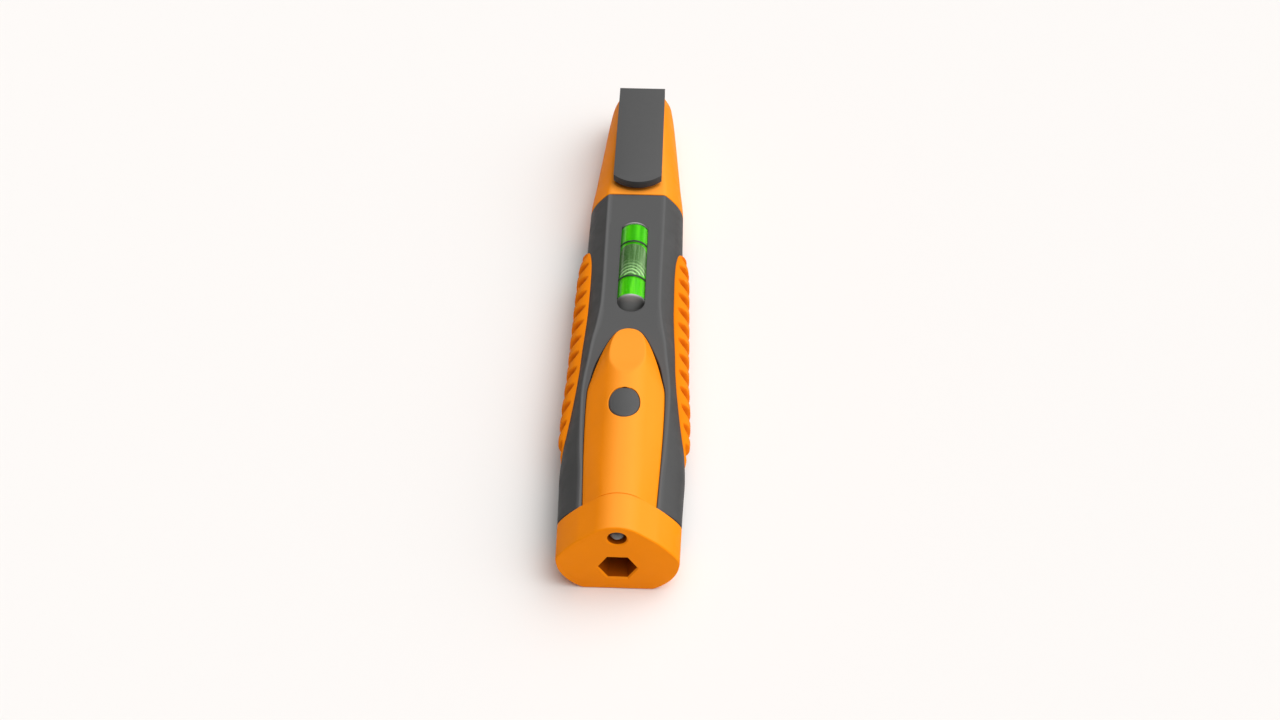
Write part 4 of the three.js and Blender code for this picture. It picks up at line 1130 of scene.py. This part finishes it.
def band(name, middle):
    """A thin black ring round the tube, slightly crowned."""
    section = [(3.41, -0.25), (3.46, -0.26), (3.5, -0.18), (3.52, 0), (3.5, 0.18), (3.46, 0.26), (3.41, 0.25)]
    rings = []
    for a in np.linspace(0, 2 * math.pi, 96, endpoint=False):
        rings.append([(r * math.cos(a), middle + y, VIAL_AXIS + r * math.sin(a)) for r, y in section])
    sheet = Sheet()
    numbers = sheet.add(np.array(rings))
    numbers = np.concatenate([numbers, numbers[:1]], 0)
    sheet.skin(np.concatenate([numbers, numbers[:, :1]], 1))
    return finish_mesh(name, sheet)


def bubble():
    """The air bubble: a long lens that lies along the top of the bore."""
    low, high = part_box("vial_bubble")
    rear, front = low.y / MM - 0.95, high.y / MM + 0.9
    middle, reach = (rear + front) / 2, (front - rear) / 2
    rings = []
    for y in merged_stations(around_end(rear, reach, 18), around_end(front, -reach, 18)):
        share = abs(y - middle) / reach
        size = max(1 - share**9, 0) ** 0.5
        spread = math.radians(63) * max(size, 0.01)
        angles = np.linspace(-spread, spread, 25)
        over = VIAL_BORE - 0.02 - 0.03 * (1 - size)
        sag = 0.55 * size
        upper = [(over * math.sin(a), y, VIAL_AXIS + over * math.cos(a)) for a in angles]
        edge_height = VIAL_AXIS + over * math.cos(spread)
        edge_x = max(upper[-1][0], 1e-6)
        lower = [(x, y, edge_height - sag * (1 - (x / edge_x) ** 2)) for x, _, _ in upper[-2:0:-1]]
        rings.append(upper + lower)
    return rings_mesh("vial_bubble_lens", rings, 70)


# -------- lamp and fasteners


def lamp():
    low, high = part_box("led_lamp")
    tip, base = low.y / MM, high.y / MM
    angles = np.linspace(0, math.pi / 2, 12)
    dome = [(LED_RADIUS * math.sin(a), tip + LED_RADIUS * (1 - math.cos(a))) for a in angles]
    flange = [(1.55, -68.5), (1.9, -68.5), (1.9, -67.65), (1.85, base), (0, base)]
    profile = [*dome, (LED_RADIUS, -68.6), *flange]
    return lathe("lamp_lens", profile, (0, 0, LED_HEIGHT))


def screw(node):
    """A small countersunk cross-head screw in a node's place, head down."""
    x, y, face, tip = node_place(node)
    head = [(0, 0), (1.15, 0), (1.5, 0.08), (1.68, 0.28), (1.7, 0.45), (1.62, 0.95), (0.95, 1.0)]
    profile = [(radius, face + rise) for radius, rise in head]
    pitch, core, crest = 0.45, 0.72, 0.9
    for i in range(int((tip - face - 2) / pitch)):
        start = face + 1.2 + pitch * i
        profile += [(core, start), (crest, start + 0.15), (crest, start + 0.2), (core, start + 0.35)]
    profile += [(0.5, tip - 0.3), (0, tip)]
    body = lathe(f"{node}_head", profile, (x, y, 0), axis="Z", turns=40)
    arm, width, depth = 0.95, 0.24, 0.6
    long = block("slot_a", (x - arm, y - width, face - 0.5), (x + arm, y + width, face + depth))
    cross = block("slot_b", (x - width, y - arm, face - 0.5), (x + width, y + arm, face + depth))
    return cut(body, long, cross)


# -------- assembly


def paint(thing, material):
    thing.data.materials.clear()
    thing.data.materials.append(material)


def place(piece, material, body, *nodes):
    paint(piece, material)
    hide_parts(*nodes)
    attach(piece, body)
    return piece


def assemble():
    place(upper_housing(), GREY, "body", "upper_housing")
    place(lower_housing(), GREY, "body", "lower_housing")
    place(nose(), ORANGE, "body", "nose_cap")
    paint_bore_shade(place(rear_cap(), ORANGE, "body", "rear_cap"))
    place(thumb_panel(), ORANGE, "body", "thumb_panel")
    place(battery_door(), GREY, "door", "battery_door")
    for node, outwards in (("vial_plug_rear", -1), ("vial_plug_front", 1)):
        place(vial_plug(node, outwards), PLUG, "body", node)
    place(power_button(), BUTTON, "button", "power_button")
    for node, side in (("left_grip", -1), ("right_grip", 1)):
        place(grip(side), GRIP, "body", node)
    place(pocket_clip(), GREY, "clip", "pocket_clip")
    tube, liquid, bands = vial()
    place(tube, TUBE, "body", "vial_tube")
    place(liquid, LIQUID, "body", "vial_liquid")
    for node, ring in bands.items():
        place(ring, BLACK, "body", node)
    place(bubble(), BUBBLE, "bubble", "vial_bubble")
    place(lamp(), LENS, "body", "led_lamp")
    for node in BODY_SCREWS:
        place(screw(node), SCREW, "body", node)
    place(screw("door_screw"), SCREW, "door", "door_screw")


CARRIED = (
    (GREY, ["vial_cradle"]),
    (BOARD, ["circuit_board"]),
    (BLACK, ["tact_switch", "lamp_resistor", "wire_negative"]),
    (RED, ["wire_positive"]),
    (STEEL, ["switch_plunger", "led_lead_left", "led_lead_right", "battery_spring", "magnet_back_plate"]),
    (NICKEL, ["positive_contact", "negative_contact", "finder_magnet", "bit_magnet"]),
    (NICKEL, [f"battery_cell_{i}" for i in (1, 2, 3)]),
)


def paint_carried():
    for material, nodes in CARRIED:
        for node in nodes:
            paint(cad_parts[node], material)


# -------- camera, floor and light


def add_camera():
    data = bpy.data.cameras.new("camera")
    data.lens = 40
    data.sensor_width = 36
    data.clip_start = 0.01
    camera = bpy.data.objects.new("camera", data)
    camera.location = (0.01005, -0.23247, 0.23198)
    camera.rotation_euler = (math.radians(43.512), 0, math.radians(2.072))
    SCENE.collection.objects.link(camera)
    SCENE.camera = camera


def add_floor():
    """A wide plain floor that sweeps up into a low rim, so that views from low down end on it too."""
    flat, sweep, level = 3000, 350, -0.05
    turns = np.linspace(0, 2 * math.pi, 97)
    bends = np.linspace(0, math.pi / 2, 13)
    profile = [(0, 0)] + [(flat + sweep * math.sin(a), sweep * (1 - math.cos(a))) for a in bends]
    rings = [
        np.stack([r * np.cos(turns), r * np.sin(turns), np.full(97, z + level)], 1) for r, z in profile
    ]
    sheet = Sheet()
    sheet.skin(sheet.add(rings))
    floor = finish_mesh("floor", sheet)
    material, _, _ = new_material("floor_white", (0.845, 0.82, 0.8), 0.9, Specular_IOR_Level=0.0)
    floor.data.materials.append(material)


SKY_DIRECTION = (0.42, -0.03, 0.907)
SKY_FALLOFF = 5.0
SKY_PEAK = 4.5


def add_light():
    """A soft sky that is brightest high up on the right and falls away evenly to all sides."""
    world = bpy.data.worlds.new("studio")
    SCENE.world = world
    world.use_nodes = True
    tree = world.node_tree
    view = add_node(tree, "TexCoord").outputs["Generated"]
    toward = add_node(tree, "VectorMath", view, SKY_DIRECTION, operation="DOT_PRODUCT")
    glow = toward.outputs["Value"]
    for operation, number in (("MAXIMUM", 0.0), ("POWER", SKY_FALLOFF), ("MULTIPLY", SKY_PEAK)):
        glow = add_node(tree, "Math", glow, number, operation=operation).outputs["Value"]
    feed(tree.nodes["Background"], Color=(1, 1, 1, 1), Strength=glow)
    SCENE.view_settings.view_transform = "Standard"


add_camera()
add_floor()
add_light()
assemble()
paint_carried()
